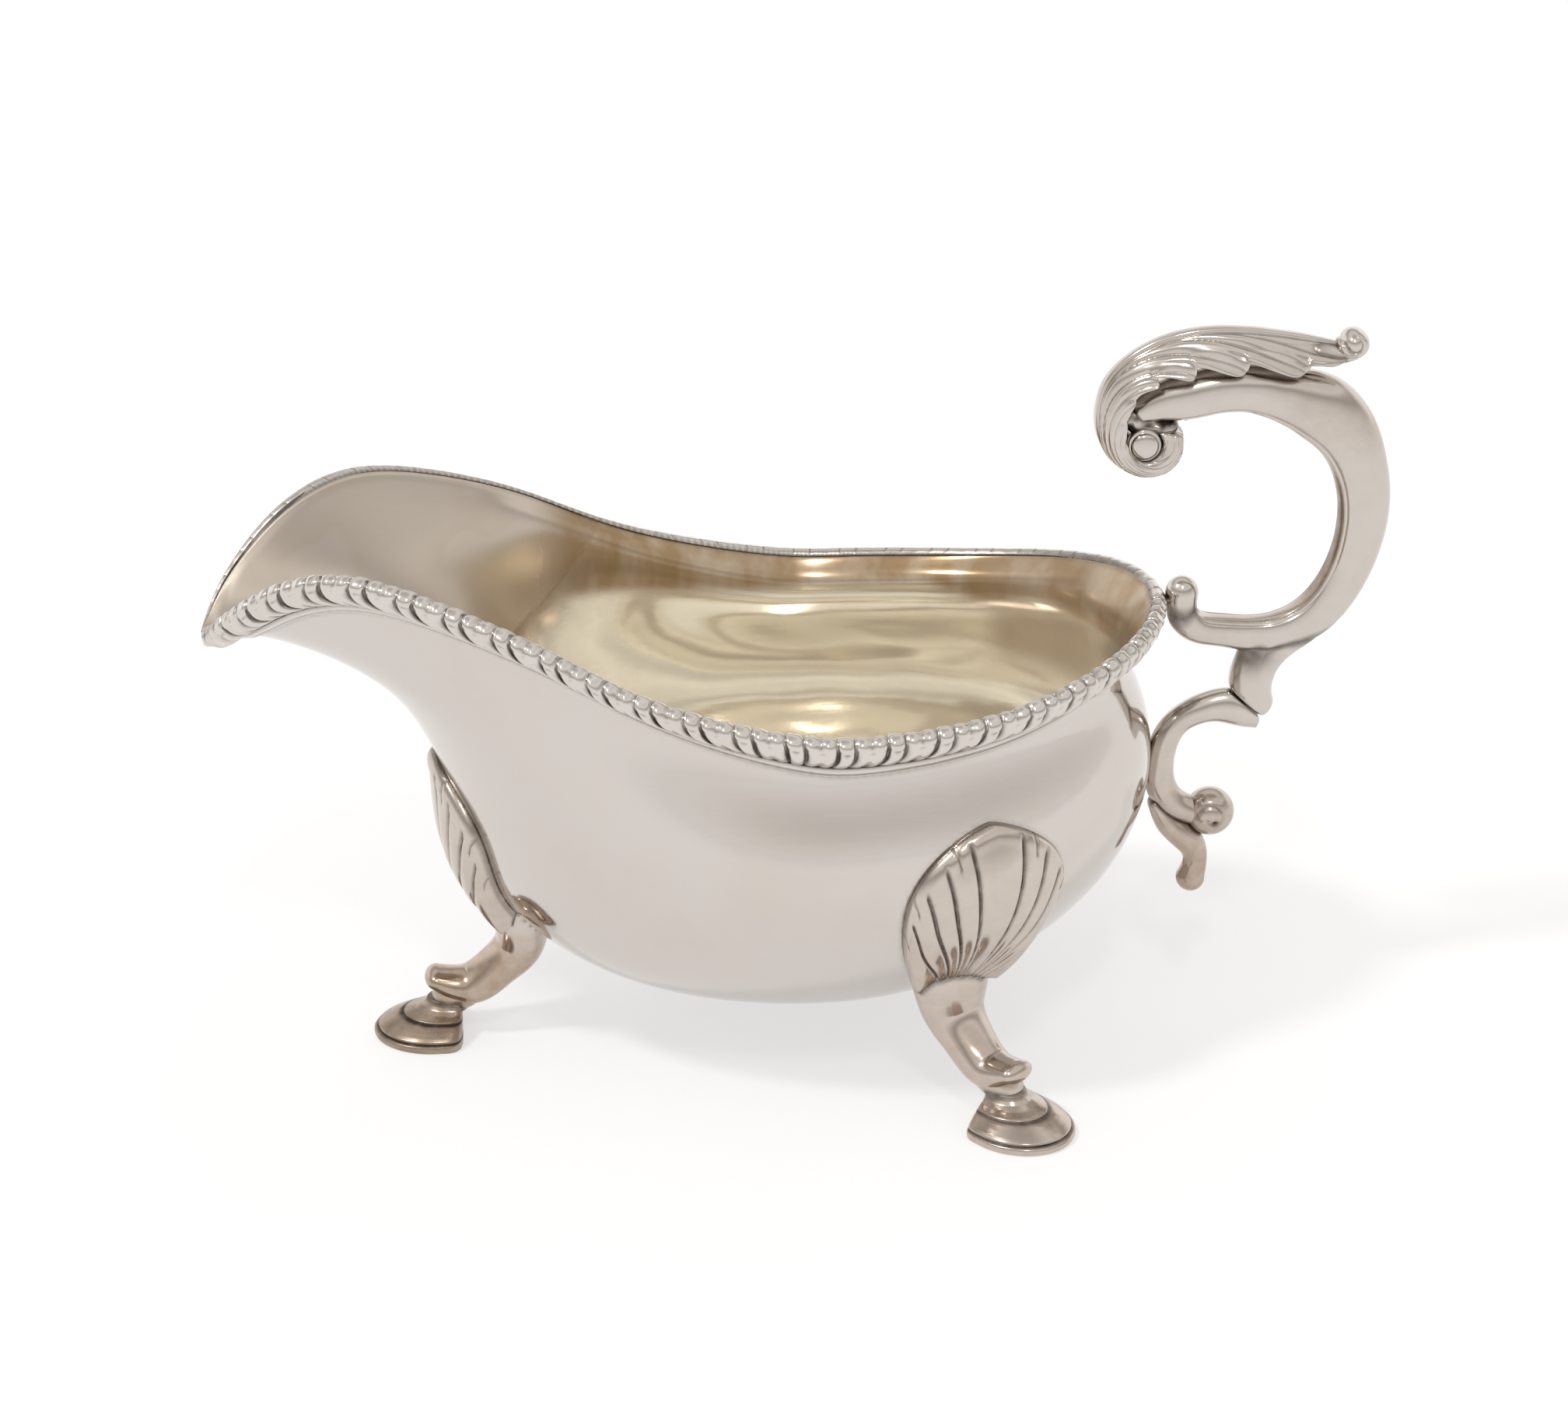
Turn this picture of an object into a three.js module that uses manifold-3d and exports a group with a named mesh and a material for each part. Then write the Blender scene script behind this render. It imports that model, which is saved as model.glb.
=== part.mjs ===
// Sauce boat on three legs, in millimetres, standing on the ground plane with its spout toward -X.
// Left and right are those of the person pouring, so left is -Y and right is +Y.
import * as THREE from "three";
import { mergeVertices } from "three/addons/utils/BufferGeometryUtils.js";
import Module from "manifold-3d";

// Bowl: reach of the rim from its widest station, half width there, and height of the rim there
const SPOUT_REACH = 99.8;
const BACK_REACH = 58.3;
const RIM_HALF_WIDTH = 38.9;
const RIM_HEIGHT = 71;
const WALL = 1.2;

// Rim border: a gadrooned moulding with a plain reed under it
const LOBES_PER_SIDE = 49;
const GADROON_DROP = 5.3;
const GADROON_BULGE = 1.7;
const LOBE_SLANT = 2.6;
const REED_WIDTH = 1.7;
const REED_PROUD = 0.6;

// Handle: how far it stands out behind the rim and rises above the rim's back end
const HANDLE_REACH = 38.3;
const HANDLE_RISE = 46.2;
const SCROLL_DEPTH = 0.82;
const LEAF_HALF_DEPTH = 4.8;
const LEAF_LOBES = 4;
const EYE_RADIUS = 2.8;
const CURL_RADIUS = 2.75;
const BEAD_RADIUS = 2.7;
const TERMINAL_RADIUS = 4.2;

// Legs: station they fan out from, plan angle of the back pair, how far each foot stands out
// from the bowl, and the shell on each knee
const LEG_CENTRE_X = -3;
const BACK_LEG_ANGLE = 51;
const BACK_STANDOFF = 16.6;
const FRONT_STANDOFF = 14.7;
const FOOT_LENGTH = 15.1;
const FOOT_WIDTH = 17.7;
const FOOT_HEIGHT = 5.9;
const SHELL_HALF_WIDTH = 12.9;
const SHELL_HEIGHT = 27.6;
const SHELL_BULGE = 4.4;
const SHELL_BELOW_RIM = 17.5;

// Clearance left where two pieces touch, and under the thin trim that bends round the rim
const GAP = 0.3;
const TRIM_GAP = 0.5;

const wasm = await Module();
wasm.setup();

const { PI, sin, cos, abs, sign, min, max, hypot, floor, pow } = Math;
const V = (x, y, z) => new THREE.Vector3(x, y, z);
const rad = (d) => (d * PI) / 180;
const mix = (a, b, f) => a + (b - a) * f;
const clamp = (v, a, b) => min(b, max(a, v));
const smooth = (f) => {
  const g = clamp(f, 0, 1);
  return g * g * (3 - 2 * g);
};

// Catmull-Rom value between p1 and p2
function cubic(p0, p1, p2, p3, f) {
  return (
    0.5 *
    (2 * p1 +
      (p2 - p0) * f +
      (2 * p0 - 5 * p1 + 4 * p2 - p3) * f * f +
      (3 * p1 - p0 - 3 * p2 + p3) * f * f * f)
  );
}
function cubicPoint(a, b, c, d, f) {
  return V(
    cubic(a.x, b.x, c.x, d.x, f),
    cubic(a.y, b.y, c.y, d.y, f),
    cubic(a.z, b.z, c.z, d.z, f),
  );
}

// Bowl surface.
// Each ring is a plan oval: shares of the rim's back reach, spout reach and half width,
// the ovals' powers at the back and the spout, then the heights at the back, the sides and
// the spout as shares of the rim height, and how far it rises between side and spout.
const RINGS = [
  [1, 1, 1, 2, 1.75, 0, 0, 0, 0],
  [0.923, 0.895, 0.959, 2, 1.7, 0.962, 0.901, 1.063, 0.134],
  [0.964, 0.717, 1.01, 2.05, 1.85, 0.834, 0.78, 0.955, 0.037],
  [0.981, 0.609, 1.054, 2.1, 1.85, 0.642, 0.611, 0.69, 0],
  [0.835, 0.542, 0.871, 2.15, 1.97, 0.397, 0.375, 0.423, 0],
  [0.477, 0.341, 0.501, 2.1, 2.1, 0.203, 0.18, 0.204, 0],
];
const RING_COUNT = RINGS.length;
const BOTTOM_SHARE = 0.151;
const BOTTOM_X = -2;

// Rim line: stations along the length as shares of the reach, and heights as shares of the rim height
const RIM_LINE = [
  [-1, 1.064],
  [-0.962, 1.155],
  [-0.862, 1.282],
  [-0.737, 1.328],
  [-0.51, 1.235],
  [-0.291, 1.087],
  [-0.05, 1],
  [0.137, 0.989],
  [0.566, 1.014],
  [1, 1.092],
];
const RIM_SLOPE = RIM_LINE.map((p, i) => {
  const a = RIM_LINE[max(i - 1, 0)];
  const b = RIM_LINE[min(i + 1, RIM_LINE.length - 1)];
  return (b[1] - a[1]) / (b[0] - a[0]);
});
function rimHeight(share) {
  const s = clamp(share, -1, 1);
  let i = 0;
  while (i < RIM_LINE.length - 2 && RIM_LINE[i + 1][0] < s) i++;
  const [x0, y0] = RIM_LINE[i];
  const [x1, y1] = RIM_LINE[i + 1];
  const h = x1 - x0;
  const f = (s - x0) / h;
  const f2 = f * f;
  const f3 = f2 * f;
  return (
    (2 * f3 - 3 * f2 + 1) * y0 +
    (f3 - 2 * f2 + f) * h * RIM_SLOPE[i] +
    (3 * f2 - 2 * f3) * y1 +
    (f3 - f2) * h * RIM_SLOPE[i + 1]
  );
}

// Point of ring k at the angle a, which runs from the handle (0) over +Y to the spout (PI)
function ringPoint(k, a) {
  const [back, spout, side, pb, ps, zb, zs, zf, hump] = RINGS[k];
  const c = cos(a);
  const s = sin(a);
  const power = c > 0 ? pb : ps;
  const reach = c > 0 ? back * BACK_REACH : spout * SPOUT_REACH;
  const share = sign(c) * pow(abs(c), 2 / power);
  const y = side * RIM_HALF_WIDTH * sign(s) * pow(abs(s), 2 / power);
  const z =
    k === 0
      ? rimHeight(share)
      : c > 0
        ? zs + (zb - zs) * c * c
        : zs + (zf - zs) * c * c + hump * sin(2 * a) * sin(2 * a);
  return V(reach * share, y, z * RIM_HEIGHT);
}

// Outer surface at the angle a and the depth t, which runs from the rim (0) to the middle of the bottom
function bowl(a, t) {
  const at = (k) => {
    if (k < 0) return ringPoint(0, a).multiplyScalar(2).sub(ringPoint(1, a));
    if (k < RING_COUNT) return ringPoint(k, a);
    if (k === RING_COUNT) return V(BOTTOM_X, 0, BOTTOM_SHARE * RIM_HEIGHT);
    return ringPoint(RING_COUNT - 1, a + PI);
  };
  const i = clamp(floor(t), 0, RING_COUNT - 1);
  return cubicPoint(at(i - 1), at(i), at(i + 1), at(i + 2), t - i);
}
function bowlNormal(a, t) {
  const e = 1e-3;
  const t1 = min(t + e, RING_COUNT - 0.02);
  const t0 = min(max(t - e, 0), t1 - e);
  const down = bowl(a, t1).sub(bowl(a, t0));
  const tt = min(t, RING_COUNT - 0.05);
  const along = bowl(a + e, tt).sub(bowl(a - e, tt));
  return along.cross(down).negate().normalize();
}
const skin = (a, t, off) =>
  bowl(a, t).add(bowlNormal(a, t).multiplyScalar(off));

// Depth t at a given distance down the surface from the rim
function depthAt(a, distance) {
  const step = 0.04;
  let t = 0;
  let run = 0;
  let p = bowl(a, 0);
  while (t < RING_COUNT - step) {
    const q = bowl(a, t + step);
    const d = q.distanceTo(p);
    if (run + d >= distance) return t + (step * (distance - run)) / d;
    run += d;
    t += step;
    p = q;
  }
  return t;
}

// Closed bodies from rows of points.
// Every row holds the same number of points; around joins the last row to the first.
function solid(rows, { around = false, closedRow = true } = {}) {
  const n = rows[0].length;
  const pos = rows.flat();
  const tri = [];
  const id = (i, j) => (i % rows.length) * n + (j % n);
  const rowSteps = around ? rows.length : rows.length - 1;
  const colSteps = closedRow ? n : n - 1;
  for (let i = 0; i < rowSteps; i++)
    for (let j = 0; j < colSteps; j++) {
      const [a, b, c, d] = [id(i, j), id(i + 1, j), id(i + 1, j + 1), id(i, j + 1)];
      if (pos[a].distanceTo(pos[c]) <= pos[b].distanceTo(pos[d]))
        tri.push([a, b, c], [a, c, d]);
      else tri.push([a, b, d], [b, c, d]);
    }
  if (!around)
    for (const [r, flip] of [
      [0, false],
      [rows.length - 1, true],
    ]) {
      const mid = rows[r]
        .reduce((s, p) => s.add(p), V(0, 0, 0))
        .multiplyScalar(1 / n);
      const m = pos.push(mid) - 1;
      for (let j = 0; j < n; j++) {
        const [p, q] = [id(r, j), id(r, j + 1)];
        tri.push(flip ? [m, q, p] : [m, p, q]);
      }
    }
  return weld(pos, tri);
}

// Manifold body of a point and triangle list, coincident points merged and faces turned outwards
function weld(points, triangles) {
  const seen = new Map();
  const index = [];
  const kept = [];
  for (const p of points) {
    const key = [p.x, p.y, p.z].map((v) => Math.round(v * 2000)).join();
    if (!seen.has(key)) {
      seen.set(key, kept.length);
      kept.push(p);
    }
    index.push(seen.get(key));
  }
  let faces = triangles
    .map((t) => t.map((i) => index[i]))
    .filter(([a, b, c]) => a !== b && b !== c && a !== c);
  let volume = 0;
  for (const [a, b, c] of faces)
    volume += kept[a].dot(V(0, 0, 0).crossVectors(kept[b], kept[c]));
  if (volume < 0) faces = faces.map(([a, b, c]) => [a, c, b]);
  const mesh = new wasm.Mesh({
    numProp: 3,
    vertProperties: new Float32Array(kept.flatMap((p) => [p.x, p.y, p.z])),
    triVerts: new Uint32Array(faces.flat()),
  });
  return new wasm.Manifold(mesh);
}

// Sweep along a curve in a vertical plane.
// Stations are [u, z, half thickness in the plane, half depth across it].
function sweep(stations, { steps = 5, sides = 12, grow = 0, place, round = [true, true] }) {
  const at = (i, k) => stations[clamp(i, 0, stations.length - 1)][k];
  const samples = [];
  const value = (i, f, k) => cubic(at(i - 1, k), at(i, k), at(i + 1, k), at(i + 2, k), f);
  for (let i = 0; i < stations.length - 1; i++)
    for (let j = 0; j < steps; j++)
      samples.push([0, 1, 2, 3].map((k) => value(i, j / steps, k)));
  samples.push(stations[stations.length - 1].slice());
  const tangent = (i) => {
    const p = samples[max(i - 1, 0)];
    const q = samples[min(i + 1, samples.length - 1)];
    const l = hypot(q[0] - p[0], q[1] - p[1]);
    return [(q[0] - p[0]) / l, (q[1] - p[1]) / l];
  };
  const ring = (i, ahead, share) => {
    const [u, z, h, b] = samples[i];
    const [tu, tz] = tangent(i);
    const row = [];
    for (let j = 0; j < sides; j++) {
      const g = (2 * PI * j) / sides;
      const n = (h + grow) * cos(g) * share;
      const w = (b + grow) * sin(g) * share;
      row.push(place(u + tu * ahead - tz * n, w, z + tz * ahead + tu * n));
    }
    return row;
  };
  const rows = [];
  const last = samples.length - 1;
  if (round[0])
    for (const g of [80, 45]) {
      const r = samples[0][2] + grow;
      rows.push(ring(0, -r * sin(rad(g)), cos(rad(g))));
    }
  for (let i = 0; i <= last; i++) rows.push(ring(i, 0, 1));
  if (round[1])
    for (const g of [45, 80]) {
      const r = samples[last][2] + grow;
      rows.push(ring(last, r * sin(rad(g)), cos(rad(g))));
    }
  return solid(rows);
}

// Manifold body of a closed geometry
function bodyOf(geometry) {
  geometry.deleteAttribute("normal");
  geometry.deleteAttribute("uv");
  const m = mergeVertices(geometry, 1e-4);
  return new wasm.Manifold(
    new wasm.Mesh({
      numProp: 3,
      vertProperties: m.attributes.position.array,
      triVerts: new Uint32Array(m.index.array),
    }),
  );
}

// Ellipsoid about a point
function ball(centre, rx, ry, rz) {
  return bodyOf(
    new THREE.SphereGeometry(1, 12, 6)
      .rotateX(PI / 2)
      .scale(rx, ry, rz)
      .translate(centre.x, centre.y, centre.z),
  );
}

// Bowl: columns round it, and rows by depth, closer together where the rim flares
const AROUND = 56;
const ROWS = [0, 0.2, 0.45, 0.8, 1.25, 1.8, 2.4, 3, 3.6, 4.2, 4.8, 5.4];
const ROW_COUNT = ROWS.length;
function bowlRow(i, off) {
  return Array.from({ length: AROUND }, (_, j) => skin((2 * PI * j) / AROUND, ROWS[i], off));
}
function makeBowl() {
  const rows = [];
  for (let i = 0; i < ROW_COUNT; i++) rows.push(bowlRow(i, 0));
  const pos = rows.flat();
  for (let i = 0; i < ROW_COUNT; i++) {
    const row = bowlRow(i, -WALL);
    if (i === 0)
      row.forEach((p, j) => {
        const q = rows[0][j];
        const inward = V(-q.x, -q.y, 0).normalize();
        const tip = smooth((abs(q.x) / SPOUT_REACH - 0.9) * 10);
        p.copy(q).addScaledVector(inward, WALL * (1 - 0.6 * tip));
        p.z += 0.5 * WALL * tip;
      });
    pos.push(...row);
  }
  const outerPole = pos.push(bowl(0, RING_COUNT)) - 1;
  const innerPole = pos.push(bowl(0, RING_COUNT).add(V(0, 0, WALL))) - 1;
  const id = (side, i, j) => (side * ROW_COUNT + i) * AROUND + (j % AROUND);
  const tri = [];
  for (let j = 0; j < AROUND; j++) {
    for (let i = 0; i < ROW_COUNT - 1; i++)
      for (const side of [0, 1]) {
        const q = [id(side, i, j), id(side, i + 1, j), id(side, i + 1, j + 1), id(side, i, j + 1)];
        if (side) q.reverse();
        tri.push([q[0], q[1], q[2]], [q[0], q[2], q[3]]);
      }
    const last = ROW_COUNT - 1;
    tri.push([id(0, last, j), outerPole, id(0, last, j + 1)]);
    tri.push([id(1, last, j + 1), innerPole, id(1, last, j)]);
    tri.push([id(0, 0, j), id(0, 0, j + 1), id(1, 0, j + 1)]);
    tri.push([id(0, 0, j), id(1, 0, j + 1), id(1, 0, j)]);
  }
  return weld(pos, tri);
}

// Filled outline of the bowl, grown by the seating gap: pieces that sit on the bowl are cut by it
function makeSeat() {
  const rows = [];
  for (let i = 0; i < ROW_COUNT; i++) rows.push(bowlRow(i, GAP));
  rows.push(rows[0].map(() => bowl(0, RING_COUNT).add(V(0, 0, -GAP))));
  return solid(rows);
}

// Rim stations of one side by length, from the middle of the spout to the middle of the handle end
function rimTable(count) {
  const table = [];
  let run = 0;
  let last = bowl(PI, 0);
  for (let i = 0; i <= count; i++) {
    const a = PI - (PI * i) / count;
    const p = bowl(a, 0);
    run += p.distanceTo(last);
    last = p;
    table.push([run, a]);
  }
  return table;
}
const RIM_TABLE = rimTable(600);
const RIM_RUN = RIM_TABLE[RIM_TABLE.length - 1][0];
function rimAngle(run) {
  let i = 0;
  while (i < RIM_TABLE.length - 2 && RIM_TABLE[i + 1][0] < run) i++;
  const [r0, a0] = RIM_TABLE[i];
  const [r1, a1] = RIM_TABLE[i + 1];
  return mix(a0, a1, clamp((run - r0) / (r1 - r0), 0, 1));
}

// Gadroon border of one side: a moulding of slanted lobes that lean out from a plain middle tongue
const PROFILE = [
  [0.02, 0.45, 0.55],
  [0.22, 1, 0.75],
  [0.62, 0.95, 0.9],
  [0.99, 0.3, 0.4],
];
function makeGadroon(side, grow = 0) {
  const perLobe = 3;
  const count = LOBES_PER_SIDE * perLobe;
  const middle = Math.round(LOBES_PER_SIDE * 0.56) + 0.5;
  const rows = [];
  for (let i = 0; i <= count; i++) {
    const lobe = i / perLobe;
    const f = lobe - floor(lobe);
    const raised = pow(sin(PI * f), 0.6);
    const fromMiddle = lobe - middle;
    const endFade = min(smooth(lobe / 2), smooth((LOBES_PER_SIDE - lobe) / 2));
    const tongue = abs(fromMiddle) < 0.45 ? 0 : 1;
    const lean = sign(fromMiddle) * smooth(abs(fromMiddle) / 3) * endFade * LOBE_SLANT;
    const run = mix(0.2, RIM_RUN - 0.2, i / count);
    const spread = 1 + (2 * grow) / GADROON_DROP;
    const row = PROFILE.map(([level, out, depth]) => {
      const down = 0.5 + (level - 0.5) * spread;
      const place = clamp(run - lean * (down - 0.5), 0.2, RIM_RUN - 0.2);
      const a = rimAngle(place) * side;
      const lift = tongue && raised === 0 ? 1 - depth * 0.75 : tongue ? raised : 0.9;
      const off = TRIM_GAP + 0.3 + GADROON_BULGE * out * lift + grow;
      return skin(a, depthAt(a, down * GADROON_DROP), off);
    });
    for (const level of [0.99, 0.02]) {
      const down = 0.5 + (level - 0.5) * spread;
      const place = clamp(run - lean * (down - 0.5), 0.2, RIM_RUN - 0.2);
      const a = rimAngle(place) * side;
      row.push(skin(a, depthAt(a, down * GADROON_DROP), TRIM_GAP));
    }
    rows.push(row);
  }
  return solid(rows);
}

// Plain reed under the gadroons, all the way round
function makeReed() {
  const top = GADROON_DROP + GAP;
  const rows = [];
  for (let i = 0; i < AROUND; i++) {
    const a = (2 * PI * i) / AROUND;
    rows.push(
      [
        [0, TRIM_GAP],
        [0.2, TRIM_GAP + REED_PROUD],
        [0.8, TRIM_GAP + REED_PROUD],
        [1, TRIM_GAP],
      ].map(([f, off]) => skin(a, depthAt(a, top + f * REED_WIDTH), off)),
    );
  }
  return solid(rows, { around: true });
}

// Handle stations are drawn in its upright plane for a rim end at u = 62.3, z = 77.5 and a belly
// at z = 45.6, with a reach of 38.3 and a rise of 46.2.
const RIM_END = bowl(0, 0);
const BELLY_END = bowl(0, 3);
function inHandle(u, w, z) {
  const out = HANDLE_REACH / 38.3;
  const up = z > 77.5 ? HANDLE_RISE / 46.2 : (RIM_END.z - BELLY_END.z) / (77.5 - 45.6);
  return V(RIM_END.x + (u - 62.3) * out, w, RIM_END.z + (z - 77.5) * up);
}
const station = (u, z, h, depth = SCROLL_DEPTH) => [u, z, h, h * depth];

// Upper scroll's end at the rim, turned up into a thumb: half thicknesses as shares of the bead's
const THUMB = [
  [66.4, 76.9, 0.98],
  [66.5, 74.2, 1.01],
  [67.3, 72, 0.94],
  [69.3, 70.4, 0.9],
  [72.9, 69.6, 0.96],
];
const MAIN_SCROLL = [
  station(77.5, 68.9, 2.95),
  station(83.4, 69.2, 3.3),
  station(88.8, 72, 3.55),
  station(92.9, 77.3, 3.7),
  station(95.6, 84.8, 4.0),
  station(96.3, 92.1, 4.3),
  station(94.9, 99.6, 4.75),
  station(91.4, 105.8, 5.3),
  station(86.6, 109.4, 5.1),
  station(81.2, 111.2, 4),
  station(75.5, 112.6, 3.4, 0.95),
  station(70.5, 112.3, 3.3, 1),
  station(66, 111.3, 3.3, 1),
  station(60.2, 110.6, 1.7, 1.3),
];

// Leaf over the top of the scroll, rolled under at the front into a volute.
// Stations hold its crest line, edge line and seat line, then its half depth as a share.
const LEAF = [
  [90.8, 120.1, 90.4, 117, 90.2, 114.6, 0.6],
  [85.3, 121.8, 85.6, 116.3, 85.3, 115, 0.9],
  [79, 123, 80.2, 116.6, 79.4, 115.6, 0.98],
  [72, 123.7, 74.2, 116.7, 72.6, 116, 1],
  [66.1, 123.4, 68.9, 116.5, 67.6, 115, 1],
  [60.2, 121.7, 64.2, 115.8, 64, 113.6, 1],
  [55.4, 118.8, 60.4, 114.9, 61.2, 112.4, 0.98],
  [52.2, 115, 57.6, 113.1, 59, 111, 0.96],
  [50.9, 110.4, 56, 110.8, 57.4, 109.4, 0.94],
  [51.1, 106, 55.4, 107.4, 56.2, 107.4, 0.92],
  [52.9, 102.2, 55.7, 104.5, 56, 104.8, 0.89],
  [56.2, 99.5, 57, 102, 57.1, 102.3, 0.87],
  [60, 98.7, 59.2, 101.3, 59.2, 101.5, 0.85],
  [63.4, 99.8, 61.3, 102.4, 61.2, 102.5, 0.83],
  [65.3, 102.6, 62.1, 104.3, 61.9, 104.4, 0.79],
  [65.2, 105.6, 61.6, 106.3, 61.4, 106.3, 0.72],
];
// Half section from the crest down the face, round the edge and back under to the seat:
// share of the half depth, share from crest to edge, share from edge to seat
const LEAF_SECTION = [
  [0.2, 0, 0],
  [0.29, 0.12, 0],
  [0.55, 0.2, 0],
  [0.84, 0.5, 0],
  [0.98, 1, 0],
  [0.64, 1, 0.1],
  [0.56, 1, 1],
];
// Its lobes lie between these stations; the edge turns back at the notch before each one
const LOBED_FROM = 1;
const LOBED_TO = 7.2;
const LOBE_TIP = 0.2;
const ROLL_ROWS = 11;
function makeLeaf(grow = 0) {
  const last = LEAF.length - 1;
  const at = (i, k) => LEAF[clamp(i, 0, last)][k];
  const width = (LOBED_TO - LOBED_FROM) / LEAF_LOBES;
  // positions along the leaf and how far the edge is drawn back there
  const places = [
    [0, 0.1],
    [LOBED_FROM * 0.6, 0.12],
  ];
  for (let k = 0; k < LEAF_LOBES; k++)
    for (const [f, back] of [
      [0, 0.26],
      [LOBE_TIP, 0],
      [0.6, 0.05],
    ])
      places.push([LOBED_FROM + (k + f) * width, back]);
  places.push([LOBED_TO, 0.16]);
  for (let k = 1; k <= ROLL_ROWS; k++) places.push([mix(LOBED_TO, last, k / ROLL_ROWS), 0]);
  const rows = places.map(([along, back], n) => {
    const i = min(floor(along), last - 1);
    const [cu, cz, eu, ez, su, sz, b] = [0, 1, 2, 3, 4, 5, 6].map((k) =>
      cubic(at(i - 1, k), at(i, k), at(i + 1, k), at(i + 2, k), along - i),
    );
    const reach = hypot(cu - eu, cz - ez);
    // a grown leaf also stands past both ends
    const [end, next] = n === 0 ? [0, 1] : [last, last - 1];
    const past = n === 0 || n === places.length - 1 ? grow : 0;
    const length = hypot(at(end, 0) - at(next, 0), at(end, 1) - at(next, 1));
    const pu = (past * (at(end, 0) - at(next, 0))) / length;
    const pz = (past * (at(end, 1) - at(next, 1))) / length;
    const half = b * LEAF_HALF_DEPTH + grow;
    const point = ([w, h, seat], side) => {
      const edge = h === 1 && seat < 1 && grow === 0 ? back : 0;
      const f = mix(-grow / reach, 1 + grow / reach, h) - edge;
      const u = mix(mix(cu, eu, f), su + (grow * (eu - cu)) / reach, seat);
      const z = mix(mix(cz, ez, f), sz + (grow * (ez - cz)) / reach, seat);
      return inHandle(u + pu, side * w * half, z + pz);
    };
    const right = LEAF_SECTION.map((p) => point(p, 1));
    const left = LEAF_SECTION.map((p) => point(p, -1)).reverse();
    return [point([0, -0.03, 0], 0), ...right, ...left];
  });
  return solid(rows);
}
// Centre of the round eye that the leaf rolls up on
const EYE_AT = [58.8, 104.4];

const LOWER_SCROLL = [
  station(80.1, 54.9, 3.3),
  station(77.3, 55.4, 3.3),
  station(74, 55.9, 3),
  station(70, 55.2, 2.5, 0.95),
  station(66.4, 53, 2.25, 1),
  station(64.4, 49.6, 2.4, 1),
  station(63.7, 45.2, 2.5, 1),
  station(64.2, 41, 2.6, 1),
  station(66.6, 37.9, 2.5, 1.05),
  station(70, 36.3, 2.4, 1.1),
];
const SPUR = [
  station(63, 38.1, 1.1, 1.8),
  station(65.8, 34.1, 2.2, 1.1),
  station(69, 31.1, 2.5, 1.05),
  station(70.4, 28.1, 2.1, 1.05),
  station(70.2, 25.3, 2.2, 1.05),
  station(69.8, 23.8, 2.5, 1),
];
const STRUT = [
  station(81.2, 67.8, 5.4, 0.5),
  station(80.1, 65, 4.6, 0.66),
  station(79, 62, 3.7, 0.82),
  station(78.8, 59, 3.6, 0.85),
  station(79.6, 56.6, 3, 0.95),
];

// Planes that part the castings, each through a point, with its normal tilted up from the u axis:
// the heel between thumb and scroll, and the crease between strut and lower scroll
const HEEL = { through: [67.35, 71.95], tilt: -36.9 };
const CREASE = { through: [77.7, 56.7], tilt: 47.8 };
function parting({ through: [u, z], tilt }) {
  const normal = V(cos(rad(tilt)), 0, sin(rad(tilt)));
  return { normal, level: normal.dot(inHandle(u, 0, z)) };
}
// A body's part beyond a parting plane, or its part before it, half a gap off the plane
const beyond = (body, { normal, level }) =>
  body.trimByPlane(normal.toArray(), level + GAP / 2);
const before = (body, { normal, level }) =>
  body.trimByPlane(normal.clone().negate().toArray(), GAP / 2 - level);

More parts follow.
